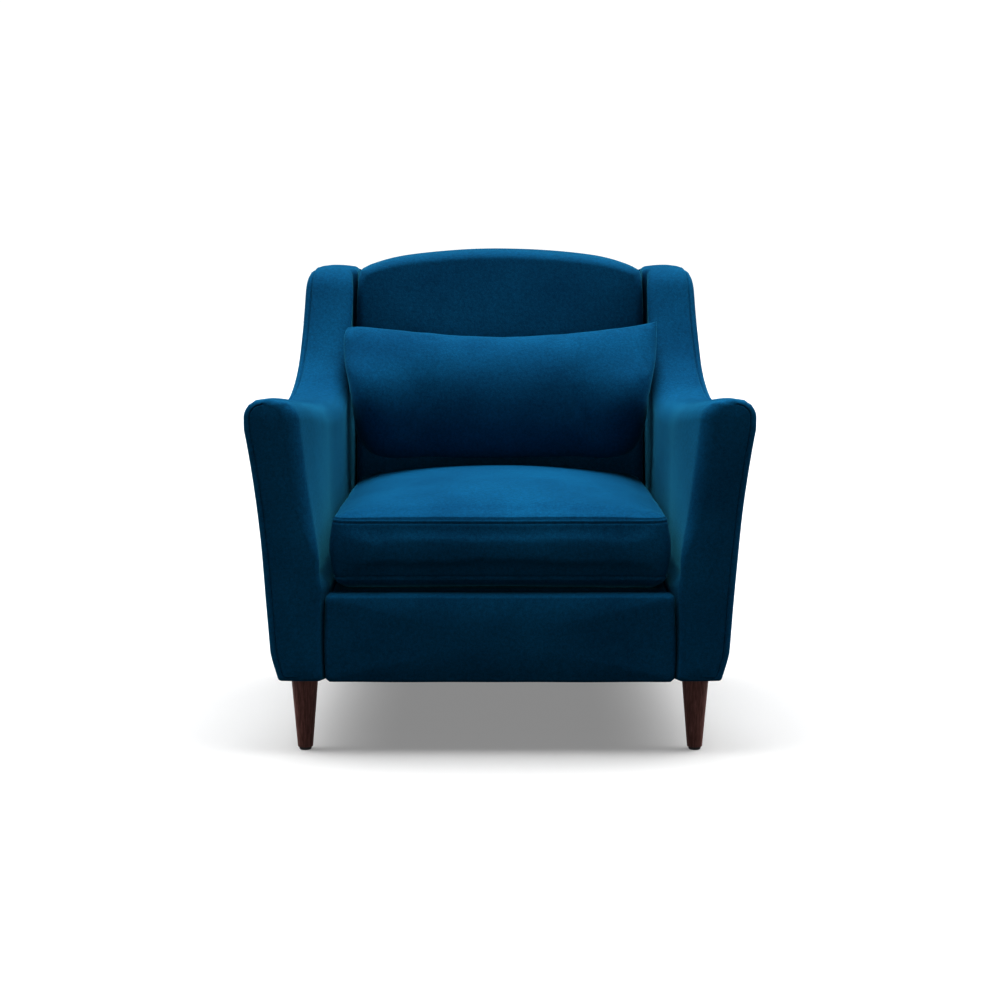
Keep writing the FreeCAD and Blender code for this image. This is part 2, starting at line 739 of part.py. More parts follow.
def leg_set(word, side, end, depth):
    name = "%s_%s_leg" % (end, word)
    x = "%d * leg_spacing" % side
    bore = "leg_height - leg_bolt_depth"
    pin_hole = "glide_thickness + glide_pin_length + 1"
    glide_hole = "glide_pin_radius + 0.1"
    outline = [(glide_hole, "glide_thickness"), ("leg_foot_radius", "glide_thickness"),
               ("leg_top_radius", "leg_height"), ("bolt_hole_radius", "leg_height"),
               ("bolt_hole_radius", bore), (0, bore), (0, pin_hole), (glide_hole, pin_hole)]
    keep(name, turned(name, outline, x, depth))

    chamfer = 1.5
    rim = "leg_foot_radius - %s" % chamfer
    pin_top = "glide_thickness + glide_pin_length"
    glide = turned(name + "_glide", [(0, 0), ("%s - %s" % (rim, chamfer), 0), (rim, chamfer),
                                     (rim, "glide_thickness"), ("glide_pin_radius", "glide_thickness"),
                                     ("glide_pin_radius", pin_top), (0, pin_top)], x, depth)
    bolt = rod(name + "_bolt", "bolt_radius", "bolt_length", x, depth, bore + " + 1")

    plate_z = "leg_height + skin + skin_gap"
    half = "plate_size / 2"
    blank = block(name + "_plate_blank", ("%s - %s" % (x, half), "%s - %s" % (depth, half), plate_z),
                  ("plate_size", "plate_size", "plate_thickness"))
    boss = rod(name + "_boss", "boss_radius", "plate_thickness + boss_height", x, depth, plate_z)
    body = fuse(name + "_plate_body", [blank, boss])
    holes = [rod(name + "_thread", "bolt_radius + 0.1", 40, x, depth, "leg_height - 5")]
    screws = []
    for index, spot in enumerate(screw_spots(side, depth)):
        tag = "%s_screw_%d" % (name, index)
        holes.append(rod(tag + "_hole", "screw_radius + 0.2", 8, spot[0], spot[1], "leg_height"))
        screws.append(rod(tag, "screw_radius", "screw_length", spot[0], spot[1], plate_z))
    return glide, bolt, cut(name + "_plate", body, holes), screws


def legs():
    glides, bolts, plates, screws = [], [], [], []
    for end, depth in (("front", "front_leg_depth"), ("rear", "rear_leg_depth")):
        for word, side in SIDES.items():
            glide, bolt, plate, four = leg_set(word, side, end, depth)
            glides.append(glide)
            bolts.append(bolt)
            plates.append(plate)
            screws.extend(four)
    keep("leg_glides", group("leg_glides", glides))
    keep("leg_hanger_bolts", group("leg_hanger_bolts", bolts))
    keep("leg_plates", group("leg_plates", plates))
    keep("leg_plate_screws", group("leg_plate_screws", screws))


# ---------------------------------------------------------------- loose cushions

def seat_block(name, inset):
    """The box cushion: tapered in plan, crowned on top."""
    front = "seat_front + (%s)" % inset
    rear = "seat_rear - (%s)" % inset
    wide = "seat_front_width - (%s)" % inset
    narrow = "seat_rear_width - (%s)" % inset
    under = "seat_underside + (%s)" % inset
    turn = "%s - seat_corner" % wide
    ease_back = "%s + 4" % front
    plan = [("-(%s)" % turn, ease_back, 0, front), (turn, ease_back), (wide, "%s + seat_corner" % front),
            (narrow, rear), ("-(%s)" % narrow, rear), ("-(%s)" % wide, "%s + seat_corner" % front)]
    body = slab(name, "XY", plan, "seat_crown_height + 20 - (%s)" % under, offset=under)
    edge = "seat_front_width + 5"
    low = "seat_front_height - (%s)" % inset
    high = "seat_crown_height - (%s)" % inset
    trim(body, "XZ", [("-(%s)" % edge, 0), (edge, 0), (edge, low, 0, high), ("-(%s)" % edge, low)])
    side_view = [(front, "%s + 20" % under), ("%s + 20" % front, "%s - 1" % under), (rear, "%s - 1" % under),
                 (rear, "seat_crown_height - 16 - (%s)" % inset, "seat_crown_depth", high),
                 ("%s + 6" % front, low)]
    return trim(body, "YZ", side_view)


def seat_cushion():
    keep("seat_cushion_cover", cut("seat_cushion_cover", seat_block("seat_outer", "0"),
                                   [seat_block("seat_inner", "skin")]))
    keep("seat_cushion_core", seat_block("seat_cushion_core", "skin + skin_gap"))
    face = "seat_rear + 0.2"
    keep("seat_cushion_zip", block("seat_cushion_zip", ("-seat_zip_half_length", face, "seat_zip_height"),
                                   ("2 * seat_zip_half_length", "zip_thickness", "zip_width")))
    corner = ("seat_zip_half_length - 20", "%s + zip_thickness + skin_gap" % face, "seat_zip_height + 5")
    keep("seat_zip_slider", block("seat_zip_slider", corner, (11, 3.5, 10)))


def lumbar_block(name, inset):
    """The scatter cushion: a leaning lens in side view, drawn in towards its ends in plan."""
    under = "lumbar_underside + (%s)" % inset
    top = "lumbar_top - (%s)" % inset
    belly = "lumbar_belly + (%s)" % inset
    rear = "lumbar_rear - (%s)" % inset
    profile = [("lumbar_foot_front + (%s) / 2" % inset, under, belly, "lumbar_belly_height"),
               ("lumbar_head", top, rear, "lumbar_rear_height"),
               ("lumbar_foot_rear - (%s) / 2" % inset, under)]
    half = "lumbar_half_width - (%s)" % inset
    body = slab(name, "YZ", profile, "2 * (%s)" % half)
    end = "%s + 1" % half
    front = "lumbar_end_front + (%s)" % inset
    back = "lumbar_end_rear - (%s)" % inset
    clear = 2
    plan = [("-(%s)" % end, front, 0, "%s - %d" % (belly, clear)), (end, front),
            (end, back, 0, "%s + %d" % (rear, clear)), ("-(%s)" % end, back)]
    return trim(body, "XY", plan)


def lumbar_cushion():
    keep("lumbar_cushion_cover", cut("lumbar_cushion_cover", lumbar_block("lumbar_outer", "0"),
                                     [lumbar_block("lumbar_inner", "skin")]))
    keep("lumbar_cushion_filling", lumbar_block("lumbar_cushion_filling", "skin + skin_gap"))
    tape = 1.2
    corner = ("-lumbar_zip_half_length", "lumbar_foot_front + 3", "lumbar_underside - 1.4")
    keep("lumbar_cushion_zip", block("lumbar_cushion_zip", corner,
                                     ("2 * lumbar_zip_half_length", "lumbar_zip_width", tape)))
    corner = ("lumbar_zip_half_length - 18", "lumbar_foot_front + 6", "lumbar_underside - 4.2")
    keep("lumbar_zip_slider", block("lumbar_zip_slider", corner, (10, 8, 2.5)))


seat_frame()
for word, side in SIDES.items():
    arm_frame(word, side)
back_frame()
seat_springs()
back_webbing()
for word, side in SIDES.items():
    arm_upholstery(word, side)
inside_back()
outside_back()
front_border()
deck()
legs()
seat_cushion()
lumbar_cushion()
doc.recompute()

faults = []
for item in doc.Objects:
    if "Invalid" in item.State or "Error" in item.State:
        faults.append("%s: %s" % (item.Name, item.State))
for node, item in nodes.items():
    if item.Shape.isNull() or not item.Shape.isValid() or not item.Shape.Solids:
        faults.append("%s has no valid solid" % node)
if faults:
    raise RuntimeError("\n".join(faults))

for node, item in nodes.items():
    item.Shape.exportStep("parts/%s.step" % node)
    print("%-24s %2d solids %12.0f mm3" % (node, len(item.Shape.Solids), item.Shape.Volume))
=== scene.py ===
"""Looks of the wing-back armchair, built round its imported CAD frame.

Metres, +Z up, the sitter faces -Y and +X is the sitter's left.  Depths are measured back from the front
plane.  Most upholstery is made as closed rings of points laid along a direction, with the far rings drawn
in to close the piece.  The lumbar cushion is two panels sewn round their edge.  Seams are grooves pressed
into those meshes.
"""
import json
import math

import bmesh
import bpy
import numpy as np
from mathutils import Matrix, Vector


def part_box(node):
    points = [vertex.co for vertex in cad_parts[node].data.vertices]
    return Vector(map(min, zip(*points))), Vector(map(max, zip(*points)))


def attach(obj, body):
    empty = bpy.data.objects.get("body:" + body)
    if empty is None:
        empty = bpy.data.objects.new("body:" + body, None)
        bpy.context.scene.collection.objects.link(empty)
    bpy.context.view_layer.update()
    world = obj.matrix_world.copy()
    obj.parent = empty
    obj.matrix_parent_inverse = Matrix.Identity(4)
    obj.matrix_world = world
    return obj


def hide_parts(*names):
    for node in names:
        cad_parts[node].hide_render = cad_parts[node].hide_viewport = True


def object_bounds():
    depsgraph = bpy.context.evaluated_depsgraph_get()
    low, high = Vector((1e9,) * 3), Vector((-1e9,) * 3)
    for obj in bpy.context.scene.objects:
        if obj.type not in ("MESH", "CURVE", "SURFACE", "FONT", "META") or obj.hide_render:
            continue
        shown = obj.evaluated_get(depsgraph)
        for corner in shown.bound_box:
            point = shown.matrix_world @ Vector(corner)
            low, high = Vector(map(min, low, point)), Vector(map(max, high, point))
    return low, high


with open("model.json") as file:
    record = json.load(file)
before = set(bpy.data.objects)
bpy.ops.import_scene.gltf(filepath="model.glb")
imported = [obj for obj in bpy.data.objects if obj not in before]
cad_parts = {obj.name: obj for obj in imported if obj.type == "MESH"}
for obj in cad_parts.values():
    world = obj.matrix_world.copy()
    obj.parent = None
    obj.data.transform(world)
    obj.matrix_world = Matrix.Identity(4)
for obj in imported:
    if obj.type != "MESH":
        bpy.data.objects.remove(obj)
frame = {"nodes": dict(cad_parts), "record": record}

CAD_LOW, CAD_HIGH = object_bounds()
FRONT = CAD_LOW.y
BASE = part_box("left_arm_cover")[0].z
WING_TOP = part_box("left_arm_cover")[1].z
CROWN = CAD_HIGH.z
BACK_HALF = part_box("inside_back_cover")[1].x
MM = 0.001


# ---------------------------------------------------------------- curves and meshes

def smooth(points):
    """A smooth curve through (place, value) points, as a function of numbers or arrays."""
    places, values = np.array(points, float).T
    slopes = np.gradient(values, places)

    def curve(at):
        at = np.clip(at, places[0], places[-1])
        index = np.clip(np.searchsorted(places, at) - 1, 0, len(places) - 2)
        step = places[index + 1] - places[index]
        t = (at - places[index]) / step
        rise = values[index + 1] - values[index]
        near = slopes[index] * step
        far = slopes[index + 1] * step
        return values[index] + t * (near + t * (3 * rise - 2 * near - far + t * (near + far - 2 * rise)))
    return curve


def ease(low, high, at):
    """0 before low, 1 after high, smooth between."""
    t = np.clip((np.asarray(at, float) - low) / (high - low), 0, 1)
    return t * t * (3 - 2 * t)


def rear_depth(height):
    """Depth of the chair's raked rear plane."""
    foot_depth = 0.8026
    rake = 0.0774
    foot_height = 0.135
    rise = 0.737
    return foot_depth + rake * (height - foot_height) / rise


def face_depth(height):
    """Depth of the inside back's raked front face."""
    foot_depth = 0.600
    rake = 0.122
    foot_height = 0.295
    rise = 0.545
    return foot_depth + rake * (height - foot_height) / rise


def place_object(name, data):
    """A new object in the scene."""
    item = bpy.data.objects.new(name, data)
    bpy.context.scene.collection.objects.link(item)
    return item


def ring_mesh(name, rings, fans=False):
    """A mesh through rings of equal point count; fans close both ends with a middle point."""
    rings = np.asarray(rings, float)
    count, around = rings.shape[:2]
    points = rings.reshape(-1, 3).tolist()
    faces = []
    for row in range(count - 1):
        for column in range(around):
            after = (column + 1) % around
            faces.append((row * around + column, row * around + after,
                          (row + 1) * around + after, (row + 1) * around + column))
    if fans:
        for ring, start in ((rings[0], 0), (rings[-1], (count - 1) * around)):
            middle = len(points)
            points.append(ring.mean(axis=0).tolist())
            for column in range(around):
                faces.append((start + column, start + (column + 1) % around, middle))
    mesh = bpy.data.meshes.new(name)
    mesh.from_pydata(points, [], faces)
    piece = place_object(name, mesh)
    fix = bmesh.new()
    fix.from_mesh(mesh)
    bmesh.ops.recalc_face_normals(fix, faces=fix.faces)
    fix.to_mesh(mesh)
    fix.free()
    return piece


def travelled(points):
    """Distance from the first point to every point of an open line."""
    return np.concatenate([[0], np.cumsum(np.linalg.norm(np.diff(points, axis=0), axis=1))])


def along(points, places):
    """Points at distances along an open line."""
    points = np.asarray(points, float)
    steps = travelled(points)
    return np.column_stack([np.interp(places, steps, points[:, k]) for k in range(points.shape[1])])


def resample(points, count):
    """Points spread evenly along an open line."""
    points = np.asarray(points, float)
    return along(points, np.linspace(0, travelled(points)[-1], count))


def normals_of(piece):
    mesh = piece.data
    mesh.update()
    values = np.zeros(len(mesh.vertices) * 3)
    mesh.vertex_normals.foreach_get("vector", values)
    return values.reshape(-1, 3)


def points_of(piece):
    values = np.zeros(len(piece.data.vertices) * 3)
    piece.data.vertices.foreach_get("co", values)
    return values.reshape(-1, 3)


def set_points(piece, points):
    piece.data.vertices.foreach_set("co", np.asarray(points, float).ravel())
    piece.data.update()


def press(piece, amounts):
    """Move every vertex along its normal, outward where the amount is positive."""
    set_points(piece, points_of(piece) + normals_of(piece) * np.asarray(amounts)[:, None])


def tidy_mesh(piece, merge=2e-5):
    """Join coincident points, drop collapsed faces, face the normals outward and shade smooth."""
    bm = bmesh.new()
    bm.from_mesh(piece.data)
    bmesh.ops.remove_doubles(bm, verts=bm.verts, dist=merge)
    bmesh.ops.dissolve_degenerate(bm, edges=bm.edges, dist=1e-6)
    bmesh.ops.recalc_face_normals(bm, faces=bm.faces)
    bm.to_mesh(piece.data)
    bm.free()
    for polygon in piece.data.polygons:
        polygon.use_smooth = True
    piece.data.update()
    return piece


def groove(distance, depth=1.5 * MM, width=1.3 * MM, ridge=0.5 * MM):
    """Cross-section of a pulled-in seam with a slight swell on both sides of it."""
    d = np.abs(distance)
    return ridge * np.exp(-((d - 3.2 * width) / (1.6 * width)) ** 2) - depth * np.exp(-(d / width) ** 2)


def waves(points, scale, seed):
    """A cheap, smooth, repeatable unevenness between -1 and 1 for every point."""
    rng = np.random.default_rng(seed)
    total = np.zeros(len(points))
    for _ in range(7):
        direction = rng.normal(size=3)
        direction /= np.linalg.norm(direction)
        length = scale * rng.uniform(0.7, 1.5)
        total += np.sin(points @ direction * 2 * math.pi / length + rng.uniform(0, 6.3))
    return total / 4


# ---------------------------------------------------------------- materials

def shader_nodes(name):
    material = bpy.data.materials.new(name)
    material.use_nodes = True
    tree = material.node_tree
    return material, tree, tree.nodes["Principled BSDF"]


def noise(tree, scale, detail, stretch=(1, 1, 1), roughness=0.5):
    place = tree.nodes.new("ShaderNodeTexCoord")
    mapping = tree.nodes.new("ShaderNodeMapping")
    mapping.inputs["Scale"].default_value = stretch
    texture = tree.nodes.new("ShaderNodeTexNoise")
    texture.inputs["Scale"].default_value = scale
    texture.inputs["Detail"].default_value = detail
    texture.inputs["Roughness"].default_value = roughness
    tree.links.new(place.outputs["Object"], mapping.inputs["Vector"])
    tree.links.new(mapping.outputs["Vector"], texture.inputs["Vector"])
    return texture.outputs["Fac"]


def ramp(tree, source, stops):
    node = tree.nodes.new("ShaderNodeValToRGB")
    node.color_ramp.elements[0].position = stops[0][0]
    node.color_ramp.elements[0].color = (*stops[0][1], 1)
    node.color_ramp.elements[1].position = stops[-1][0]
    node.color_ramp.elements[1].color = (*stops[-1][1], 1)
    for position, color in stops[1:-1]:
        node.color_ramp.elements.new(position).color = (*color, 1)
    tree.links.new(source, node.inputs["Fac"])
    return node.outputs["Color"]


def bump(tree, height, strength, distance, below=None):
    node = tree.nodes.new("ShaderNodeBump")
    node.inputs["Strength"].default_value = strength
    node.inputs["Distance"].default_value = distance
    tree.links.new(height, node.inputs["Height"])
    if below is not None:
        tree.links.new(below, node.inputs["Normal"])
    return node.outputs["Normal"]


def mix(tree, factor, first, second, blend="MIX"):
    node = tree.nodes.new("ShaderNodeMix")
    node.data_type = "RGBA"
    node.blend_type = blend
    if isinstance(factor, float):
        node.inputs["Factor"].default_value = factor
    else:
        tree.links.new(factor, node.inputs["Factor"])
    tree.links.new(first, node.inputs[6])
    tree.links.new(second, node.inputs[7])
    return node.outputs[2]


def velvet_material():
    """Petrol-blue velvet: a dark ground, a light nap seen edge-on, soft patches where the pile leans."""
    material, tree, shader = shader_nodes("velvet_petrol")
    patches = noise(tree, 7, 3)
    fibres = noise(tree, 620, 2, roughness=0.6)
    lean = noise(tree, 170, 4, roughness=0.7)
    ground = ramp(tree, patches, [(0.3, (0.0036, 0.092, 0.205)), (0.7, (0.0052, 0.126, 0.265))])
    flecks = ramp(tree, fibres, [(0.3, (0.68, 0.68, 0.68)), (0.7, (1.0, 1.0, 1.0))])
    mottle = ramp(tree, lean, [(0.35, (0.72, 0.72, 0.72)), (0.65, (1.0, 1.0, 1.0))])
    color = mix(tree, 1.0, ground, flecks, "MULTIPLY")
    color = mix(tree, 1.0, color, mottle, "MULTIPLY")
    tree.links.new(color, shader.inputs["Base Color"])
    shader.inputs["Roughness"].default_value = 0.85
    shader.inputs["Specular IOR Level"].default_value = 0.02
    shader.inputs["Sheen Weight"].default_value = 0.35
    shader.inputs["Sheen Roughness"].default_value = 0.32
    shader.inputs["Sheen Tint"].default_value = (0.10, 0.72, 1.0, 1)
    pile = bump(tree, fibres, 0.35, 0.4 * MM)
    tree.links.new(bump(tree, lean, 0.6, 1.0 * MM, pile), shader.inputs["Normal"])
    return material


def wood_material(name, dark, light, grain_scale, roughness):
    material, tree, shader = shader_nodes(name)
    grain = noise(tree, grain_scale, 6, (9, 9, 0.55), 0.6)
    pores = noise(tree, grain_scale * 3, 3, (7, 7, 0.35), 0.7)
    between = tuple((a + b) / 2 for a, b in zip(dark, light))
    color = ramp(tree, grain, [(0.32, dark), (0.52, between), (0.72, light)])
    tint = ramp(tree, pores, [(0.35, (0.7, 0.7, 0.7)), (0.6, (1, 1, 1))])
    tree.links.new(mix(tree, 1.0, color, tint, "MULTIPLY"), shader.inputs["Base Color"])
    shader.inputs["Roughness"].default_value = roughness
    shader.inputs["Specular IOR Level"].default_value = 0.15
    tree.links.new(bump(tree, pores, 0.25, 0.3 * MM), shader.inputs["Normal"])
    return material


def cloth_material(name, color, threads):
    """A plain woven cloth: two crossing sets of threads over a mottled colour."""
    material, tree, shader = shader_nodes(name)
    place = tree.nodes.new("ShaderNodeTexCoord")
    heights = []
    for direction in ("X", "Y"):
        wave = tree.nodes.new("ShaderNodeTexWave")
        wave.bands_direction = direction
        wave.inputs["Scale"].default_value = threads
        wave.inputs["Distortion"].default_value = 0.4
        tree.links.new(place.outputs["Object"], wave.inputs["Vector"])
        heights.append(wave.outputs["Fac"])
    weave = tree.nodes.new("ShaderNodeMath")
    weave.operation = "MAXIMUM"
    tree.links.new(heights[0], weave.inputs[0])
    tree.links.new(heights[1], weave.inputs[1])
    mottle = noise(tree, 30, 4)
    dark = tuple(value * 0.7 for value in color)
    shade = ramp(tree, mottle, [(0.3, dark), (0.7, color)])
    tree.links.new(shade, shader.inputs["Base Color"])
    shader.inputs["Roughness"].default_value = 0.8
    tree.links.new(bump(tree, weave.outputs[0], 0.4, 0.4 * MM), shader.inputs["Normal"])
    return material


def metal_material(name, color, roughness):
    material, tree, shader = shader_nodes(name)
    scratches = noise(tree, 300, 3, (1, 1, 6))
    shade = ramp(tree, scratches, [(0.3, tuple(value * 0.75 for value in color)), (0.7, color)])
    tree.links.new(shade, shader.inputs["Base Color"])
    shader.inputs["Metallic"].default_value = 1
    shader.inputs["Roughness"].default_value = roughness
    tree.links.new(bump(tree, scratches, 0.1, 0.1 * MM), shader.inputs["Normal"])
    return material


def plastic_material(name, color):
    material, tree, shader = shader_nodes(name)
    grain = noise(tree, 500, 2)
    shade = ramp(tree, grain, [(0.3, tuple(value * 0.8 for value in color)), (0.7, color)])
    tree.links.new(shade, shader.inputs["Base Color"])
    shader.inputs["Roughness"].default_value = 0.55
    tree.links.new(bump(tree, grain, 0.15, 0.2 * MM), shader.inputs["Normal"])
    return material


VELVET = velvet_material()
MATERIALS = {
    "velvet": VELVET,
    "padding": cloth_material("foam_wadding", (0.80, 0.76, 0.64), 60),
    "lining_cloth": cloth_material("black_lining", (0.02, 0.02, 0.024), 120),
    "webbing": cloth_material("jute_webbing", (0.42, 0.32, 0.20), 90),
    "leg_wood": wood_material("dark_stained_beech", (0.120, 0.045, 0.038), (0.300, 0.140, 0.120), 34, 0.5),
    "frame_wood": wood_material("plain_beech", (0.42, 0.26, 0.13), (0.66, 0.46, 0.27), 20, 0.7),
    "steel": metal_material("zinc_steel", (0.55, 0.56, 0.58), 0.35),
    "glide_plastic": plastic_material("black_glide", (0.02, 0.02, 0.022)),
    "zip_tape": cloth_material("zip_tape", (0.004, 0.03, 0.055), 200),
    "zip_metal": metal_material("zip_metal", (0.32, 0.33, 0.35), 0.3),
}


def finish_piece(piece, body, slot, replaced=()):
    """Give a piece its material, its body and the CAD nodes that it stands for."""
    piece.data.materials.clear()
    piece.data.materials.append(MATERIALS[slot])
    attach(piece, body)
    if replaced:
        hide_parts(*replaced)
    return piece


# ---------------------------------------------------------------- arms and wings

arm_top = smooth([(0, .636), (.04, .635), (.15, .622), (.25, .610), (.34, .602), (.42, .604), (.50, .628),
                  (.58, .680), (.63, .735), (.66, .773), (.69, .811), (.72, .830), (.76, .838), (.83, .838),
                  (.87, .834)])
arm_lower_out = smooth([(0, .408), (.30, .4005), (.60, .393), (.87, .386)])
arm_inner_foot = smooth([(0, .302), (.10, .3005), (.42, .2965), (.60, .2925), (.87, .2925)])
arm_flare = smooth([(0, 1), (.15, .80), (.30, .50), (.42, .26), (.52, .10), (.62, 0), (.87, 0)])
outer_round = smooth([(0, .032), (.15, .026), (.42, .016), (.62, .013), (.69, .018), (.76, .031),
                      (.87, .033)])
inner_round = smooth([(0, .038), (.12, .042), (.36, .042), (.50, .034), (.62, .018), (.70, .013),
                      (.87, .012)])
seam_inset = smooth([(0, .014), (.30, .011), (.50, .0118), (.87, .0118)])
ARM_END = 0.44
WING_DEPTHS = np.linspace(ARM_END, 0.755, 60)
WING_HEIGHTS = arm_top(WING_DEPTHS)
FLARE = 0.0435
BORDER_TOP = 0.297
BORDER_REAR = 0.0298
RECESS = 0.0168


def arm_outside(depth, height):
    """Half-width of the outer surface of an arm, which flares at its front and tucks in at its foot."""
    flare_start = 0.191
    flare_height = 0.399
    part = np.clip((height - flare_start) / flare_height, 0, 1.1)
    rise = np.minimum(0.6 * part + 0.4 * part ** 3, 0.97)
    most_tuck = 0.0135
    tuck = most_tuck * np.clip(1 - (height - BASE - 0.004) / 0.050, 0, 1) ** 1.25
    return arm_lower_out(depth) + FLARE * arm_flare(depth) * rise - tuck


def arm_inside(depth, height):
    """Half-width of the inner surface: upright at the back, leaning out and set back at the front."""
    most_lean = 0.057
    lean = most_lean * np.clip(1 - depth / ARM_END, 0, 1) ** 1.6
    above = np.clip((height - 0.34) / 0.28, 0, 1.1) ** 0.55
    recess = RECESS * (1 - ease(0.24, ARM_END, depth))
    recess *= ease(BORDER_TOP + 0.004, BORDER_TOP + 0.030, height)
    bow = 0.0030 * np.sin(math.pi * np.clip((height - BASE) / (BORDER_TOP - BASE), 0, 1))
    beside_border = (1 - ease(BORDER_REAR, BORDER_REAR + 0.006, depth)) * (0.0125 + bow)
    fade = 1 - ease(BORDER_TOP + 0.05, BORDER_TOP + 0.12, height)
    leaning = ((lean * above) ** 4 + recess ** 4) ** 0.25
    wing_edge = np.interp(height, WING_HEIGHTS, WING_DEPTHS)
    leaning = leaning + 0.0060 * ease(0.003, 0.020, depth - wing_edge) * ease(0.63, 0.67, height)
    leaning = leaning - 0.0095 * ease(0.732, 0.752, depth) * ease(0.63, 0.67, height)
    return arm_inner_foot(depth) + leaning + beside_border * np.clip(fade - recess / RECESS, 0, 1)


SIDE_ROWS = 44
FOOT_ROWS = 5
SEAM_STEPS = np.array([0, 1.1, 2.2, 3.6, 5.4, 8.0]) * MM
TOP_BEFORE = 7
TOP_AFTER = 9
SEAM_REACH = 0.012
FRONT_ROUND = {"out": 0.013, "in": 0.026, "top": 0.008, "foot": 0.006}


def front_round_inside(height):
    """How far the arm's front is rounded towards its inner face: little beside the border, more above."""
    return 0.009 + (FRONT_ROUND["in"] - 0.009) * ease(0.34, 0.44, height)


def arm_ring(depth, share):
    """One closed section of an arm, from the middle of its underside up the outer side and down the inner.

    share says how far the section is drawn in towards the front face, from 0, not at all, to 1.
    """
    top = arm_top(depth) - FRONT_ROUND["top"] * share
    foot = BASE + FRONT_ROUND["foot"] * share
    foot_radius = 0.007
    slope = 0.003 * (1 - ease(0.1, 0.4, depth) + ease(0.6, 0.75, depth))

    def outer(height):
        return float(arm_outside(depth, height)) - FRONT_ROUND["out"] * share

    def inner(height):
        return float(arm_inside(depth, height) + front_round_inside(height) * share)

    centre = (outer(foot) + inner(foot)) / 2
    middle = (outer(top - 0.02) + inner(top - 0.02)) / 2 + 0.006 * (1 - ease(0.0, 0.3, depth))

    def half(sign, edge, radius, drop):
        shoulder = top - drop - radius
        low_edge = edge(foot + foot_radius)
        points = [(centre + (low_edge - sign * foot_radius - centre) * t, foot)
                  for t in np.linspace(0, 1, FOOT_ROWS, endpoint=False)]
        points += [(low_edge - sign * foot_radius * (1 - math.sin(angle)),
                    foot + foot_radius * (1 - math.cos(angle)))
                   for angle in np.linspace(0, math.pi / 2, FOOT_ROWS, endpoint=False)]
        points += [(edge(height), height)
                   for height in np.linspace(foot + foot_radius, shoulder, SIDE_ROWS, endpoint=False)]
        start = edge(shoulder)
        over = [(start - sign * radius * (1 - math.cos(angle)), shoulder + radius * math.sin(angle))
                for angle in np.linspace(0, math.pi / 2, 23)]
        end = start - sign * radius
        over += [(end + (middle - end) * t, top - drop * (1 - t) ** 2) for t in np.linspace(0, 1, 12)[1:]]
        inset = min(float(seam_inset(depth)), radius * 0.96)
        seam = radius * math.acos(1 - inset / radius) if sign > 0 else radius
        length = travelled(np.asarray(over, float))[-1]
        reach = min(SEAM_STEPS[-1], seam * 0.8, (length - seam) * 0.8)
        steps = SEAM_STEPS * reach / SEAM_STEPS[-1]
        places = np.concatenate([np.linspace(0, seam - reach, TOP_BEFORE, endpoint=False),
                                 seam - steps[::-1], seam + steps[1:],
                                 np.linspace(seam + reach, length, TOP_AFTER + 1)[1:]])
        return np.vstack([points, along(over, places)])

    right = half(1, outer, max(float(outer_round(depth)) - 0.012 * share, 0.008), 0.0015)
    left = half(-1, inner, max(float(inner_round(depth)) - 0.010 * share, 0.008), slope)
    return np.vstack([right, left[-2:0:-1]])


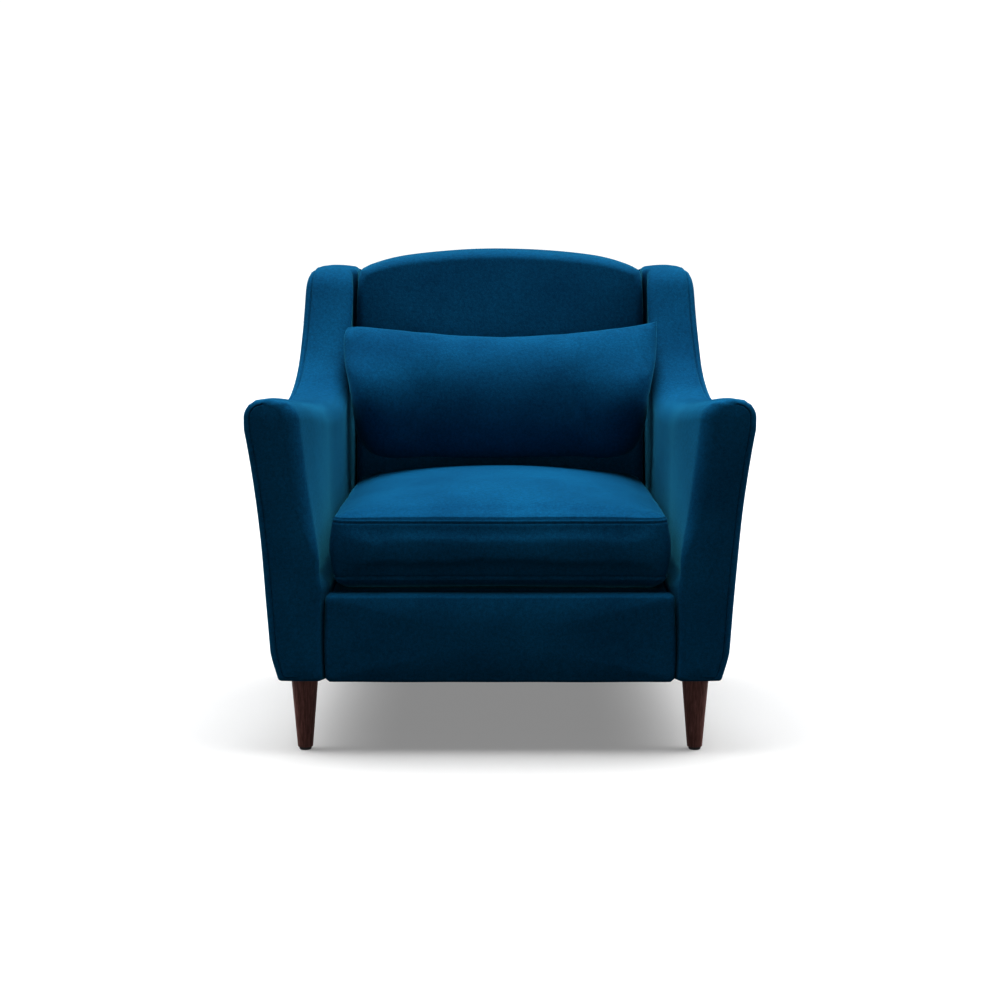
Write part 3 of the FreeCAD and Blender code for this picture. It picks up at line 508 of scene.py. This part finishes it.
def arm_piece(word, side):
    """One arm and its wing in velvet."""
    foot_end = 2 * FOOT_ROWS
    shoulder = foot_end + SIDE_ROWS
    seam = shoulder + TOP_BEFORE + len(SEAM_STEPS) - 1
    plain = arm_ring(0.02, 0)
    ring_size = len(plain)
    half_count = ring_size // 2
    columns = np.arange(ring_size)
    place = np.minimum(columns, ring_size - columns)
    flank = np.where(columns <= half_count, FRONT_ROUND["out"], front_round_inside(plain[:, 1]))
    over_end = np.where(columns <= half_count, shoulder + TOP_BEFORE + len(SEAM_STEPS), half_count + 6)
    over = ease(0, 1, (place - shoulder + 4) / (over_end - shoulder + 4))
    under = ease(0, foot_end, place)
    radius = flank + (FRONT_ROUND["top"] - flank) * over
    radius = FRONT_ROUND["foot"] + (radius - FRONT_ROUND["foot"]) * under

    rings = []
    for angle in (0, .03, .07, .13, .22, .34, .5, .7, .92, 1.14, 1.36, math.pi / 2):
        section = arm_ring(float(FRONT_ROUND["in"] * (1 - math.cos(angle))), 1 - math.sin(angle))
        y = FRONT + radius * (1 - math.cos(angle))
        rings.append(np.column_stack([side * section[:, 0], y, section[:, 1]]))
    first = rings[0]
    partner = first[(-columns) % ring_size]
    halfway = (first + partner) / 2
    order = np.argsort(halfway[:, 2])
    spine = np.clip(halfway[:, 2], halfway[0, 2] + 0.03, halfway[half_count, 2] - 0.028)
    middle = np.column_stack([np.interp(spine, halfway[order, 2], halfway[order, 0]), halfway[:, 1], spine])
    width = np.linalg.norm(first - middle, axis=1)
    face = []
    for share in (0.015, 0.04, 0.075, 0.12, 0.19, 0.30, 0.46, 0.64, 0.82, 1.0):
        ring = first + (middle - first) * share
        ring[:, 1] -= 0.0025 * (1 - (1 - share) ** 2) * np.clip(width / 0.03, 0, 1)
        face.append(ring)

    depths = np.concatenate([np.linspace(FRONT_ROUND["in"], 0.068, 5)[1:], np.linspace(0.068, 0.5, 42)[1:],
                             np.linspace(0.5, 0.78, 48)[1:], np.linspace(0.78, 0.87, 8)[1:]])
    body = []
    for depth in depths:
        section = arm_ring(float(depth), 0)
        sheared = depth + ease(0.60, 0.87, depth) * (rear_depth(section[:, 1]) - 0.0106 - 0.87)
        body.append(np.column_stack([side * section[:, 0], FRONT + sheared, section[:, 1]]))
    # The rounding reaches its own depth at each point, so the first body rings start from there.
    reached = rings[-1][:, 1]
    for ring in body[:4]:
        ring[:, 1] = np.maximum(ring[:, 1], reached + 0.0002)
        reached = ring[:, 1]
    last = body[-1]
    partner = last[(-columns) % ring_size]
    closing = [last + ((last + partner) / 2 - last) * share for share in (0.3, 1.0)]
    edge_row = len(face)
    rings = face[::-1] + rings + body + closing
    piece = ring_mesh(word + "_arm_velvet", rings)

    grid = np.array(rings)
    amounts = np.zeros(grid.shape[:2])
    top_seam_row = edge_row + 7
    for row in range(top_seam_row, len(rings) - len(closing)):
        steps = travelled(grid[row])
        distance = steps - steps[seam]
        near = np.abs(distance) < SEAM_REACH
        pressed = groove(distance[near], 3.2 * MM, 1.6 * MM, 1.1 * MM)
        amounts[row, near] += pressed * ease(top_seam_row, top_seam_row + 5, row)
    fade = ease(0, 4, columns) * (1 - ease(half_count - 1, half_count + 3, columns))
    for row in range(edge_row + 10):
        distance = np.linalg.norm(grid[row] - grid[edge_row], axis=1)
        amounts[row] += groove(distance, 1.9 * MM, 0.9 * MM, 0.4 * MM) * fade
    press(piece, amounts.ravel())
    press(piece, waves(points_of(piece), 0.16, 11 + side) * 0.5 * MM)
    tidy_mesh(piece)
    return finish_piece(piece, "frame", "velvet", [word + "_arm_cover", word + "_arm_padding"])


# ---------------------------------------------------------------- back, border and other flat-ended pads

def crown_height(across, drop=0.0):
    """Height of the arched top edge of the back."""
    x = np.abs(across)
    arch = 1.44 - np.sqrt(1.44 ** 2 - x ** 2)
    return CROWN - arch - 0.011 * np.clip((x - 0.18) / 0.10, 0, 1.2) ** 2.2 - drop


def half_outline(edges, corner_radii, inset, count):
    """Half of a symmetric outline: bottom middle, lower corner, side, upper corner, top middle.

    edges gives the bottom height, the side as a function of height and the top as a function of width.
    """
    bottom, side, top = edges
    low_radius, high_radius = corner_radii
    low = bottom + inset
    low_radius = max(low_radius - inset * 0.6, 0.003)
    high_radius = max(high_radius - inset * 0.6, 0.004)
    points = [(0.0, low)]
    foot = side(low + low_radius) - inset
    for angle in np.linspace(0, math.pi / 2, 7):
        points.append((foot - low_radius * (1 - math.sin(angle)), low + low_radius * (1 - math.cos(angle))))
    shoulder_x = side(top(side(low) - inset)) - inset
    shoulder_z = top(shoulder_x - high_radius) - inset - high_radius
    for height in np.linspace(low + low_radius, shoulder_z, 24)[1:]:
        points.append((side(height) - inset, height))
    edge = side(shoulder_z) - inset
    join = (edge - high_radius, top(edge - high_radius) - inset)
    for angle in np.linspace(0, math.pi / 2, 9)[1:]:
        t = math.sin(angle)
        height = shoulder_z + (join[1] - shoulder_z) * t
        points.append((edge - high_radius * (1 - math.cos(angle)), height))
    for across in np.linspace(join[0], 0, 24)[1:]:
        points.append((across, top(across) - inset))
    return resample(points, count)


def full_outline(half):
    left = half[-2:0:-1] * (-1, 1)
    return np.vstack([half, left])


def pad_between(name, edges, radii, rounds, front, rear, bulge, rows=14, count=70, rear_round=0.004):
    """A padded panel between two depth functions, its edge rounded towards the front."""
    centre_z = (edges[0] + edges[2](0.0)) / 2
    rings = []
    round_side, round_top = rounds
    top_z = edges[2](0.0)

    def lay(outline, depth_from_front, forward=0.0):
        x, z = outline.T
        depth = front(z) + depth_from_front - forward
        return np.column_stack([x, FRONT + np.minimum(depth, rear(z)), z])

    start = full_outline(half_outline(edges, radii, round_side, count))
    for share in np.linspace(1, 0, 34, endpoint=False):
        scaled = np.column_stack([start[:, 0] * (1 - share),
                                  centre_z + (start[:, 1] - centre_z) * (1 - share)])
        rings.append(lay(scaled, 0.0, bulge * (1 - (1 - share) ** 3)))
    for angle in np.linspace(0, math.pi / 2, rows):
        inset = round_side * (1 - math.sin(angle))
        outline = full_outline(half_outline(edges, radii, inset, count))
        upper = ease(top_z - 0.10, top_z - 0.02, outline[:, 1])
        radius = round_side + (round_top - round_side) * upper
        rings.append(lay(outline, radius * (1 - math.cos(angle))))
    x, z = full_outline(half_outline(edges, radii, 0.0, count)).T
    near = rings[-1][:, 1] - FRONT
    far = rear(z)
    for share in np.linspace(0, 1, 10)[1:-1]:
        rings.append(np.column_stack([x, FRONT + near + (far - rear_round - near) * share, z]))
    for angle in np.linspace(0, math.pi / 2, 4):
        drawn = full_outline(half_outline(edges, radii, rear_round * (1 - math.cos(angle)), count))
        depth = rear(drawn[:, 1]) - rear_round * (1 - math.sin(angle))
        rings.append(np.column_stack([drawn[:, 0], FRONT + depth, drawn[:, 1]]))
    final = rings[-1]
    for share in (0.25, 0.5, 0.75, 1.0):
        z = centre_z + (final[:, 2] - centre_z) * (1 - share)
        rings.append(np.column_stack([final[:, 0] * (1 - share), FRONT + rear(z), z]))
    return ring_mesh(name, rings)


def inside_back():
    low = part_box("inside_back_cover")[0]
    side = smooth([(0.28, BACK_HALF + 0.003), (0.60, BACK_HALF + 0.005), (0.75, BACK_HALF + 0.0055),
                   (0.85, BACK_HALF + 0.002)])
    edges = (low.z, lambda z: float(side(z)), lambda x: float(crown_height(x, 0.002)))
    piece = pad_between("inside_back_velvet", edges, (0.012, 0.020), (0.018, 0.032),
                        lambda z: face_depth(z) - 0.006, lambda z: rear_depth(z) - 0.0106, 0.010)
    press(piece, waves(points_of(piece), 0.22, 5) * 0.7 * MM)
    tidy_mesh(piece)
    return finish_piece(piece, "frame", "velvet", ["inside_back_cover", "inside_back_padding"])


def outside_back():
    """The rear panel: straight sides, rounded wing corners, and the arch between two shallow notches."""
    def side(height):
        tuck = 0.0055 * np.clip(1 - (height - BASE) / 0.056, 0, 1) ** 1.6
        return float(0.3865 - tuck - 0.006 * ease(0.5, 0.82, height))

    def top(across):
        x = abs(across)
        wing = WING_TOP - 0.006 - 0.010 * float(1 - ease(0.288, 0.312, x))
        return float(crown_height(x, 0.002)) if x < BACK_HALF + 0.001 else wing

    edges = (BASE, side, top)
    piece = pad_between("outside_back_velvet", edges, (0.010, 0.032), (0.004, 0.004),
                        lambda z: rear_depth(z) - 0.0104, lambda z: rear_depth(z) + 0.002, 0.0,
                        rows=5, count=110, rear_round=0.007)
    tidy_mesh(piece)
    return finish_piece(piece, "frame", "velvet", ["outside_back_cover", "outside_back_padding"])


def front_border():
    low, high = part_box("front_border_cover")
    half = high.x + 0.0010

    def side(height):
        return half + 0.001 * float(ease(low.z, low.z + 0.03, height))

    edges = (low.z - 0.003, side, lambda across: high.z - 0.006)
    piece = pad_between("front_border_velvet", edges, (0.010, 0.012), (0.008, 0.025),
                        lambda z: 0.005 + 0 * z, lambda z: BORDER_REAR + 0 * z, 0.006, rows=12, count=90)
    press(piece, waves(points_of(piece), 0.14, 21) * 0.6 * MM)
    tidy_mesh(piece)
    return finish_piece(piece, "frame", "velvet", ["front_border_cover", "front_border_padding"])


def seat_deck():
    """The platform under the seat cushion, softly crowned, with a seam behind its front strip."""
    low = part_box("seat_deck_pad")[0]
    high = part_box("seat_deck_cover")[1]
    half_x = 0.3005
    front = low.y - FRONT + 0.001
    rear = high.y - FRONT
    rows = []
    seam = front + 0.09
    along_depth = np.concatenate([np.linspace(front, front + 0.012, 5),
                                  np.linspace(front + 0.012, seam - 0.006, 8)[1:],
                                  seam + np.array([-2.4, -1.2, 0, 1.2, 2.4]) * MM,
                                  np.linspace(seam + 0.006, rear - 0.01, 40), [rear - 0.005, rear]])
    columns = 61
    across = np.linspace(-1, 1, columns)
    for depth in along_depth:
        lift = ease(front - 0.001, front + 0.014, depth) * (1 - ease(rear - 0.012, rear + 0.001, depth))
        crown = 0.003 * (1 - across ** 4) * lift
        edge = 0.010 * (1 - np.clip((1 - np.abs(across)) / 0.035, 0, 1)) ** 2
        pressed = float(groove(depth - seam, 1.6 * MM, 1.1 * MM, 0.4 * MM))
        top = high.z - 0.010 * (1 - lift) - edge + crown + pressed
        place = np.full(columns, FRONT + depth)
        upper = np.column_stack([across * half_x, place, top])
        lower = np.column_stack([across[::-1] * half_x, place, np.full(columns, low.z)])
        rows.append(np.vstack([upper, lower]))
    piece = ring_mesh("seat_deck_velvet", rows, fans=True)
    press(piece, waves(points_of(piece), 0.12, 31) * 0.4 * MM)
    tidy_mesh(piece)
    return finish_piece(piece, "frame", "velvet", ["seat_deck_cover", "seat_deck_pad"])


def dust_cover():
    """Black lining stapled under the frame: stretched flat, with a folded hem and a slight sag."""
    low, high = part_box("dust_cover")
    wide = high.x - low.x
    deep = high.y - low.y
    across, back = np.meshgrid(np.linspace(-1, 1, 67), np.linspace(-1, 1, 77))
    sag = 0.0035 * (1 - across ** 4) * (1 - back ** 4)
    x = across.ravel() * wide / 2
    y = (low.y + high.y) / 2 + back.ravel() * deep / 2
    hem = np.minimum((1 - np.abs(across.ravel())) * wide / 2, (1 - np.abs(back.ravel())) * deep / 2)
    z = high.z - sag.ravel() + groove(hem - 0.014, 0.5 * MM, 3 * MM, 0.3 * MM)
    z += waves(np.column_stack([x, y, z]), 0.09, 41) * 0.35 * MM * np.clip(hem / 0.02, 0, 1)
    count = across.shape[1]
    faces = []
    for row in range(across.shape[0] - 1):
        for column in range(count - 1):
            corner = row * count + column
            faces.append((corner, corner + 1, corner + count + 1, corner + count))
    mesh = bpy.data.meshes.new("dust_cover_lining")
    mesh.from_pydata(np.column_stack([x, y, z]).tolist(), [], faces)
    piece = place_object("dust_cover_lining", mesh)
    thick = piece.modifiers.new("cloth_thickness", "SOLIDIFY")
    thick.thickness = 0.8 * MM
    thick.offset = 0
    solid = bpy.data.meshes.new_from_object(piece.evaluated_get(bpy.context.evaluated_depsgraph_get()))
    piece.modifiers.clear()
    piece.data = solid
    tidy_mesh(piece)
    finish_piece(piece, "frame", "lining_cloth", ["dust_cover"])


# ---------------------------------------------------------------- seat cushion

def seat_plan(inset, count=200):
    """The cushion's outline from above, drawn in by an inset."""
    low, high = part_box("seat_cushion_cover")
    front = low.y + inset
    rear = high.y - inset
    wide = 0.3035 - inset
    middle = 0.2990 - inset
    narrow = 0.283 - inset
    bow = 0.004
    radius = max(0.024 - 0.5 * inset, 0.006)
    rear_radius = 0.014
    front_end = front + bow + radius
    points = [(0.0, front)]
    for angle in np.linspace(0, math.pi / 2, 10):
        points.append((wide - radius * (1 - math.sin(angle)), front + bow + radius * (1 - math.cos(angle))))
    for share in np.linspace(0, 1, 12)[1:]:
        across = (1 - share) ** 2 * wide + 2 * share * (1 - share) * (middle - 0.003) + share ** 2 * narrow
        points.append((across, front_end + (rear - rear_radius - front_end) * share))
    for angle in np.linspace(0, math.pi / 2, 8)[1:]:
        points.append((narrow - rear_radius * (1 - math.cos(angle)),
                       rear - rear_radius * (1 - math.sin(angle))))
    points.append((0.0, rear))
    half = resample(points, count // 2 + 1)
    return np.vstack([half, half[-2:0:-1] * (-1, 1)])


def seat_dome(x, y):
    """Height of the crowned top above its seam."""
    low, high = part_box("seat_cushion_cover")
    half_width = 0.297
    crown = 0.0415
    across = np.clip(np.abs(x) / half_width, 0, 1)
    depth = np.clip((y - low.y) / (high.y - low.y), 0, 1)
    front = 1 - (1 - np.clip(depth / 0.52, 0, 1)) ** 2.3
    rear = 1 - 0.42 * ease(0.62, 1.0, depth)
    return crown * (1 - across ** 2.2) * front * rear


def seat_cushion():
    low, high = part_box("seat_cushion_cover")
    seam_low = low.z + 0.022
    seam_high = 0.4245
    centre = np.array([0.0, (low.y + high.y) / 2])
    rings = []
    rows = []

    def lay(outline, height):
        rings.append(np.column_stack([outline, np.full(len(outline), float(height))]))

    underside = low.z + 0.0005
    bottom = seat_plan(0.038)
    for share in np.linspace(0.96, 0, 12, endpoint=False):
        lay(centre + (bottom - centre) * (1 - share), underside)
        rows.append(None)
    for angle in np.linspace(0, math.pi / 2, 8, endpoint=False):
        lay(seat_plan(0.006 + 0.032 * (1 - math.sin(angle))), underside + 0.023 * (1 - math.cos(angle)))
        rows.append(None)
    side_rows = [seam_low + step * MM for step in (-3.5, -1.2, 0, 1.2, 3.5, 7)]
    side_rows += list(np.linspace(seam_low + 0.007, seam_high - 0.014, 16)[1:])
    side_rows += [seam_high - step * MM for step in (10, 8.5, 7, 5.5, 3.5, 1.5, 0)]
    for height in side_rows:
        share = (height - seam_low) / (seam_high - seam_low)
        swell = 0.006 * math.sin(math.pi * min(max(share, 0), 1)) ** 0.7
        lay(seat_plan(0.007 - swell), height)
        rows.append(height)
    top = seat_plan(0.007)
    for share in [0.004, 0.009, 0.016, 0.026, 0.04] + list(np.linspace(0.06, 0.97, 40)):
        outline = centre + (top - centre) * (1 - share)
        edge_roll = 1 - math.exp(-share / 0.02)
        rise = seat_dome(outline[:, 0], outline[:, 1]) + 0.004 * edge_roll
        rings.append(np.column_stack([outline, seam_high + rise]))
        rows.append(None)
    piece = ring_mesh("seat_cushion_velvet", rings, fans=True)
    settle(piece, pressure=3.0, frames=14, most=2.5 * MM)
    around = rings[0].shape[0]
    amounts = np.zeros((len(rings), around))
    grid = np.array(rings)
    for seam, depth in ((seam_low, 1.4 * MM), (seam_high, 2.0 * MM), (seam_high - 0.007, 1.1 * MM)):
        known = [(abs(height - seam), index) for index, height in enumerate(rows) if height is not None]
        row = min(known)[1]
        distance = np.linalg.norm(grid - grid[row], axis=2)
        amounts += np.where(distance < 0.02, groove(distance, depth, 0.9 * MM, 0.4 * MM), 0)
    press(piece, np.append(amounts.ravel(), [0, 0]))
    press(piece, waves(points_of(piece), 0.20, 3) * 0.9 * MM)
    tidy_mesh(piece)
    return finish_piece(piece, "seat_cushion", "velvet",
                        ["seat_cushion_cover", "seat_cushion_core"])


# ---------------------------------------------------------------- lumbar cushion

lumbar_half_width = smooth([(-1, .262), (-.6, .284), (-.2, .2915), (.1, .297), (.35, .304), (.7, .309),
                            (1, .308)])
lumbar_side_depth = smooth([(-1, .575), (-.5, .530), (-.1, .490), (.2, .500), (.6, .546), (1, .584)])
lumbar_middle_depth = smooth([(-1, .590), (0, .578), (1, .594)])
LUMBAR_TOP = 0.7055
LUMBAR_EARS = 0.0285
LUMBAR_FRONT = 0.098
LUMBAR_REAR = 0.030
LUMBAR_SINK = 0.070
LUMBAR_COLUMNS = 84
LUMBAR_ROWS = 42


def spread(count):
    """Places from -1 to 1 that close up towards both ends, where the seam is."""
    even = np.linspace(-1, 1, count + 1)
    return 0.55 * even + 0.45 * np.sin(even * math.pi / 2)


def lumbar_point(u, v, face):
    """A point of the pillow's front (face -1) or rear (face 1) panel, for places u, v from -1 to 1."""
    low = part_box("lumbar_cushion_cover")[0].z + 0.001
    corner = abs(u) ** 9 * abs(v) ** 9
    top_edge = LUMBAR_TOP + LUMBAR_EARS * abs(u) ** 1.7
    rounded = v < 0 or u < 0
    height = low + (top_edge - low) * (v + 1) / 2
    height -= (math.copysign(0.009, v) if rounded else -0.003) * corner
    x = (float(lumbar_half_width(v)) - (0.010 if rounded else -0.002) * corner) * u
    pull = 0.010 * (1 - abs(v) ** 1.5) * abs(u) ** 6
    x -= math.copysign(pull * 0.35, u)
    ends = float(ease(0.45, 1.0, abs(u)))
    seam = float(lumbar_middle_depth(v)) * (1 - ends) + float(lumbar_side_depth(v)) * ends
    belly = ((1 - abs(u) ** 3.4) * (1 - abs(v) ** 2.4)) ** 0.54
    if face < 0:
        thick = LUMBAR_FRONT * belly * (1 - 0.16 * math.sin(math.pi * v / 2))
        hang = ((1 - abs(u) ** 8) * (1 - abs(v) ** 2.4)) ** 0.54
        sink = LUMBAR_SINK * hang * float(ease(-0.2, 0.85, -v))
    else:
        thick = LUMBAR_REAR * belly
        sink = 0.0
    lean = math.atan2(0.056, 0.24)
    return (x, FRONT + seam + face * thick * math.cos(lean),
            height - face * thick * math.sin(lean) * 0.35 - sink)


def pillow_blank():
    """Two panels sewn together round their edge."""
    places_u = spread(LUMBAR_COLUMNS)
    places_v = spread(LUMBAR_ROWS)
    bm = bmesh.new()
    edge = {}
    panels = []
    for face in (-1, 1):
        grid = {}
        for row, v in enumerate(places_v):
            for column, u in enumerate(places_u):
                on_edge = row in (0, LUMBAR_ROWS) or column in (0, LUMBAR_COLUMNS)
                if on_edge and face == 1:
                    grid[row, column] = edge[row, column]
                    continue
                vertex = bm.verts.new(lumbar_point(float(u), float(v), face))
                grid[row, column] = vertex
                if on_edge:
                    edge[row, column] = vertex
        panels.append((face, grid))
    for face, grid in panels:
        for row in range(LUMBAR_ROWS):
            for column in range(LUMBAR_COLUMNS):
                loop = [grid[row, column], grid[row, column + 1],
                        grid[row + 1, column + 1], grid[row + 1, column]]
                bm.faces.new(loop if face == -1 else loop[::-1])
    bm.verts.index_update()
    outline = sorted({vertex.index for vertex in edge.values()})
    mesh = bpy.data.meshes.new("lumbar_cushion_velvet")
    bm.to_mesh(mesh)
    bm.free()
    return place_object("lumbar_cushion_velvet", mesh), outline


def settle(piece, pressure, frames, most, held=()):
    """Let Blender's cloth puff a sewn cover up, no point moving further than most; held points stay."""
    start = points_of(piece)
    if len(held):
        pins = piece.vertex_groups.new(name="seam")
        pins.add([int(index) for index in held], 1.0, "REPLACE")
    cloth = piece.modifiers.new("settle", "CLOTH")
    settings = cloth.settings
    settings.quality = 6
    settings.mass = 0.3
    settings.tension_stiffness = 15
    settings.compression_stiffness = 15
    settings.shear_stiffness = 5
    settings.bending_stiffness = 0.5
    settings.use_pressure = True
    settings.uniform_pressure_force = pressure
    settings.effector_weights.gravity = 0
    if len(held):
        settings.vertex_group_mass = "seam"
    cloth.point_cache.frame_start = 1
    cloth.point_cache.frame_end = frames
    scene = bpy.context.scene
    for number in range(1, frames + 1):
        scene.frame_set(number)
    settled = piece.evaluated_get(bpy.context.evaluated_depsgraph_get())
    points = np.zeros(len(start) * 3)
    settled.data.vertices.foreach_get("co", points)
    piece.modifiers.remove(cloth)
    piece.vertex_groups.clear()
    scene.frame_set(1)
    moved = points.reshape(-1, 3) - start
    length = np.linalg.norm(moved, axis=1, keepdims=True)
    set_points(piece, start + moved * np.minimum(1, most / np.maximum(length, 1e-9)))


def lumbar_cushion():
    piece, outline = pillow_blank()
    points = points_of(piece)
    rim = points[outline]
    distance = np.array([np.min(np.linalg.norm(rim - point, axis=1)) for point in points])
    # Puckers run in from the seam where the two panels are gathered a little.
    gather = waves(points * (1, 0.3, 1), 0.045, 7)
    gather *= np.exp(-(distance / 0.030) ** 2) * (1 - np.exp(-distance / 0.006))
    press(piece, gather * 3.2 * MM)
    settle(piece, pressure=5.0, frames=22, most=6 * MM, held=outline)
    lip = np.exp(-(distance / 0.0022) ** 2) * 1.5 * MM
    lip -= np.exp(-((distance - 0.006) / 0.003) ** 2) * 1.2 * MM
    press(piece, lip)
    points = points_of(piece)
    tuck = np.zeros(len(points))
    for side, height, depth in ((1, 0.598, 3.2), (-1, 0.596, 2.6)):
        reach = np.abs(points[:, 0] - side * 0.30)
        off = points[:, 2] - height - 0.1 * reach
        tuck -= depth * MM * np.exp(-(off / 0.004) ** 2) * np.exp(-(reach / 0.022) ** 2)
    press(piece, tuck + waves(points, 0.11, 9) * 1.1 * MM * (1 - np.exp(-distance / 0.03)))
    # The underside lies on the zip at the rear and hangs lower in front of it.
    points = points_of(piece)
    zip_low, zip_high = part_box("lumbar_cushion_zip")
    underside = zip_high.z + 0.0002
    lowest = underside - 0.0118 * (1 - ease(zip_low.y - 0.022, zip_low.y - 0.006, points[:, 1]))
    spare = 0.008
    below = lowest + spare - points[:, 2]
    points[:, 2] = np.where(below > 0, lowest + spare - spare * np.tanh(below / spare), points[:, 2])
    back_clearance = 0.018
    points[:, 1] = np.minimum(points[:, 1], FRONT + face_depth(points[:, 2]) - back_clearance)
    set_points(piece, points)
    subdivide = piece.modifiers.new("finer", "SUBSURF")
    subdivide.levels = subdivide.render_levels = 1
    finer = bpy.data.meshes.new_from_object(piece.evaluated_get(bpy.context.evaluated_depsgraph_get()))
    piece.modifiers.clear()
    piece.data = finer
    tidy_mesh(piece)
    return finish_piece(piece, "lumbar_cushion", "velvet",
                        ["lumbar_cushion_cover", "lumbar_cushion_filling"])


# ---------------------------------------------------------------- legs and the CAD pieces that stay

def leg_piece(node):
    """A turned, tapered leg with softened ends."""
    low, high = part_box(node)
    centre = (low + high) / 2
    top_radius = (high.x - low.x) / 2 * 1.06
    foot_radius = 0.0135
    tall = high.z - low.z
    profile = [(foot_radius - 0.0016, low.z), (foot_radius - 0.0006, low.z + 0.0003),
               (foot_radius - 0.0001, low.z + 0.0010)]
    profile += [(foot_radius + (top_radius - foot_radius) * share, low.z + tall * share)
                for share in np.linspace(0.03, 0.985, 16)]
    profile += [(top_radius - 0.0004, high.z - 0.0006), (top_radius - 0.0018, high.z), (0.006, high.z)]
    angles = np.linspace(0, 2 * math.pi, 56, endpoint=False)
    rings = [np.column_stack([centre.x + radius * np.cos(angles), centre.y + radius * np.sin(angles),
                              np.full(len(angles), height)])
             for radius, height in [(0.0, low.z)] + profile + [(0.0, high.z)]]
    piece = ring_mesh(node + "_turned", rings)
    tidy_mesh(piece)
    return finish_piece(piece, "frame", "leg_wood", [node])


def dress_cad():
    """Better materials for the CAD pieces that stay as they are."""
    slots = {entry["node"]: entry["material_slot"] for entry in frame["record"]["subparts"]}
    for node, item in frame["nodes"].items():
        item.data.materials.clear()
        item.data.materials.append(MATERIALS[slots[node]])


# ---------------------------------------------------------------- studio

SUN_STRENGTH = 4.0
SUN_SPREAD = 62
FLOOR_GLOW = 0.31
WHITE_GLOW = 1.06


def backdrop():
    """A white drum round the studio that lights nothing, so that low views have no dark ceiling behind."""
    reach = 12.0
    height = 9.0
    angles = np.linspace(0, 2 * math.pi, 96, endpoint=False)
    drum = ring_mesh("studio_backdrop", [np.column_stack([reach * np.cos(angles), reach * np.sin(angles),
                                                          np.full(len(angles), level)])
                                         for level in (-0.01, height)])
    material, _, shader = shader_nodes("backdrop_white")
    shader.inputs["Base Color"].default_value = (0, 0, 0, 1)
    shader.inputs["Specular IOR Level"].default_value = 0.0
    shader.inputs["Emission Color"].default_value = (1, 1, 1, 1)
    shader.inputs["Emission Strength"].default_value = WHITE_GLOW
    drum.data.materials.append(material)
    drum.visible_diffuse = False
    drum.visible_glossy = False
    drum.visible_shadow = False


def studio():
    floor_mesh = bpy.data.meshes.new("studio_floor")
    reach = 14.0
    corners = [(-reach, -reach, 0), (reach, -reach, 0), (reach, reach, 0), (-reach, reach, 0)]
    floor_mesh.from_pydata(corners, [], [(0, 1, 2, 3)])
    floor = place_object("studio_floor", floor_mesh)
    material, _, shader = shader_nodes("studio_white")
    shader.inputs["Base Color"].default_value = (0.44, 0.44, 0.44, 1)
    shader.inputs["Roughness"].default_value = 0.9
    shader.inputs["Specular IOR Level"].default_value = 0.0
    # A light table: its own glow keeps the shadow pale, and it throws no light back up at the chair.
    shader.inputs["Emission Color"].default_value = (1, 1, 1, 1)
    shader.inputs["Emission Strength"].default_value = FLOOR_GLOW
    floor_mesh.materials.append(material)
    floor.visible_diffuse = False
    backdrop()

    world = bpy.data.worlds.new("studio_air")
    world.use_nodes = True
    air = world.node_tree
    heading = air.nodes.new("ShaderNodeTexCoord")
    split = air.nodes.new("ShaderNodeSeparateXYZ")
    air.links.new(heading.outputs["Generated"], split.inputs["Vector"])
    # Only light comes from here, because the drum hides it: bright at the horizon, dim above and below.
    lift = air.nodes.new("ShaderNodeMapRange")
    lift.inputs["From Min"].default_value = -1
    lift.inputs["From Max"].default_value = 1
    air.links.new(split.outputs["Z"], lift.inputs["Value"])
    white = (WHITE_GLOW, WHITE_GLOW, WHITE_GLOW)
    glow = ramp(air, lift.outputs["Result"], [(0.42, (0.03, 0.03, 0.03)), (0.44, white),
                                              (0.535, white), (0.547, (0.07, 0.07, 0.07))])
    air.links.new(glow, air.nodes["Background"].inputs["Color"])
    air.nodes["Background"].inputs["Strength"].default_value = 1.0
    bpy.context.scene.world = world

    def overhead(name, towards, strength, spread_degrees):
        light = bpy.data.lights.new(name, "SUN")
        light.energy = strength
        light.angle = math.radians(spread_degrees)
        item = place_object(name, light)
        item.location = (0, 0, 3)
        item.rotation_euler = Vector(towards).to_track_quat("-Z", "Y").to_euler()

    for name, side in (("left_light", -1), ("right_light", 1)):
        overhead(name, (0.47 * side, -0.19, -1), SUN_STRENGTH, SUN_SPREAD)

    view = bpy.context.scene.view_settings
    view.view_transform = "Standard"
    view.look = "None"
    view.gamma = 0.8


CAMERA_DISTANCE = 4.30
CAMERA_HEIGHT = 1.038
CAMERA_TILT = 7.66
CAMERA_LENS = 89.14


def camera():
    """Where the photograph was taken from: in front, just above the chair, tilted down by some degrees."""
    data = bpy.data.cameras.new("camera")
    data.sensor_width = 36
    data.lens = CAMERA_LENS
    item = place_object("camera", data)
    item.location = (0, FRONT - CAMERA_DISTANCE, CAMERA_HEIGHT)
    item.rotation_euler = (math.radians(90 - CAMERA_TILT), 0, 0)
    bpy.context.scene.camera = item


dress_cad()
for word, side in (("left", 1), ("right", -1)):
    arm_piece(word, side)
inside_back()
outside_back()
front_border()
seat_deck()
dust_cover()
seat_cushion()
lumbar_cushion()
for node in sorted(frame["nodes"]):
    if node.endswith("_leg"):
        leg_piece(node)
studio()
camera()
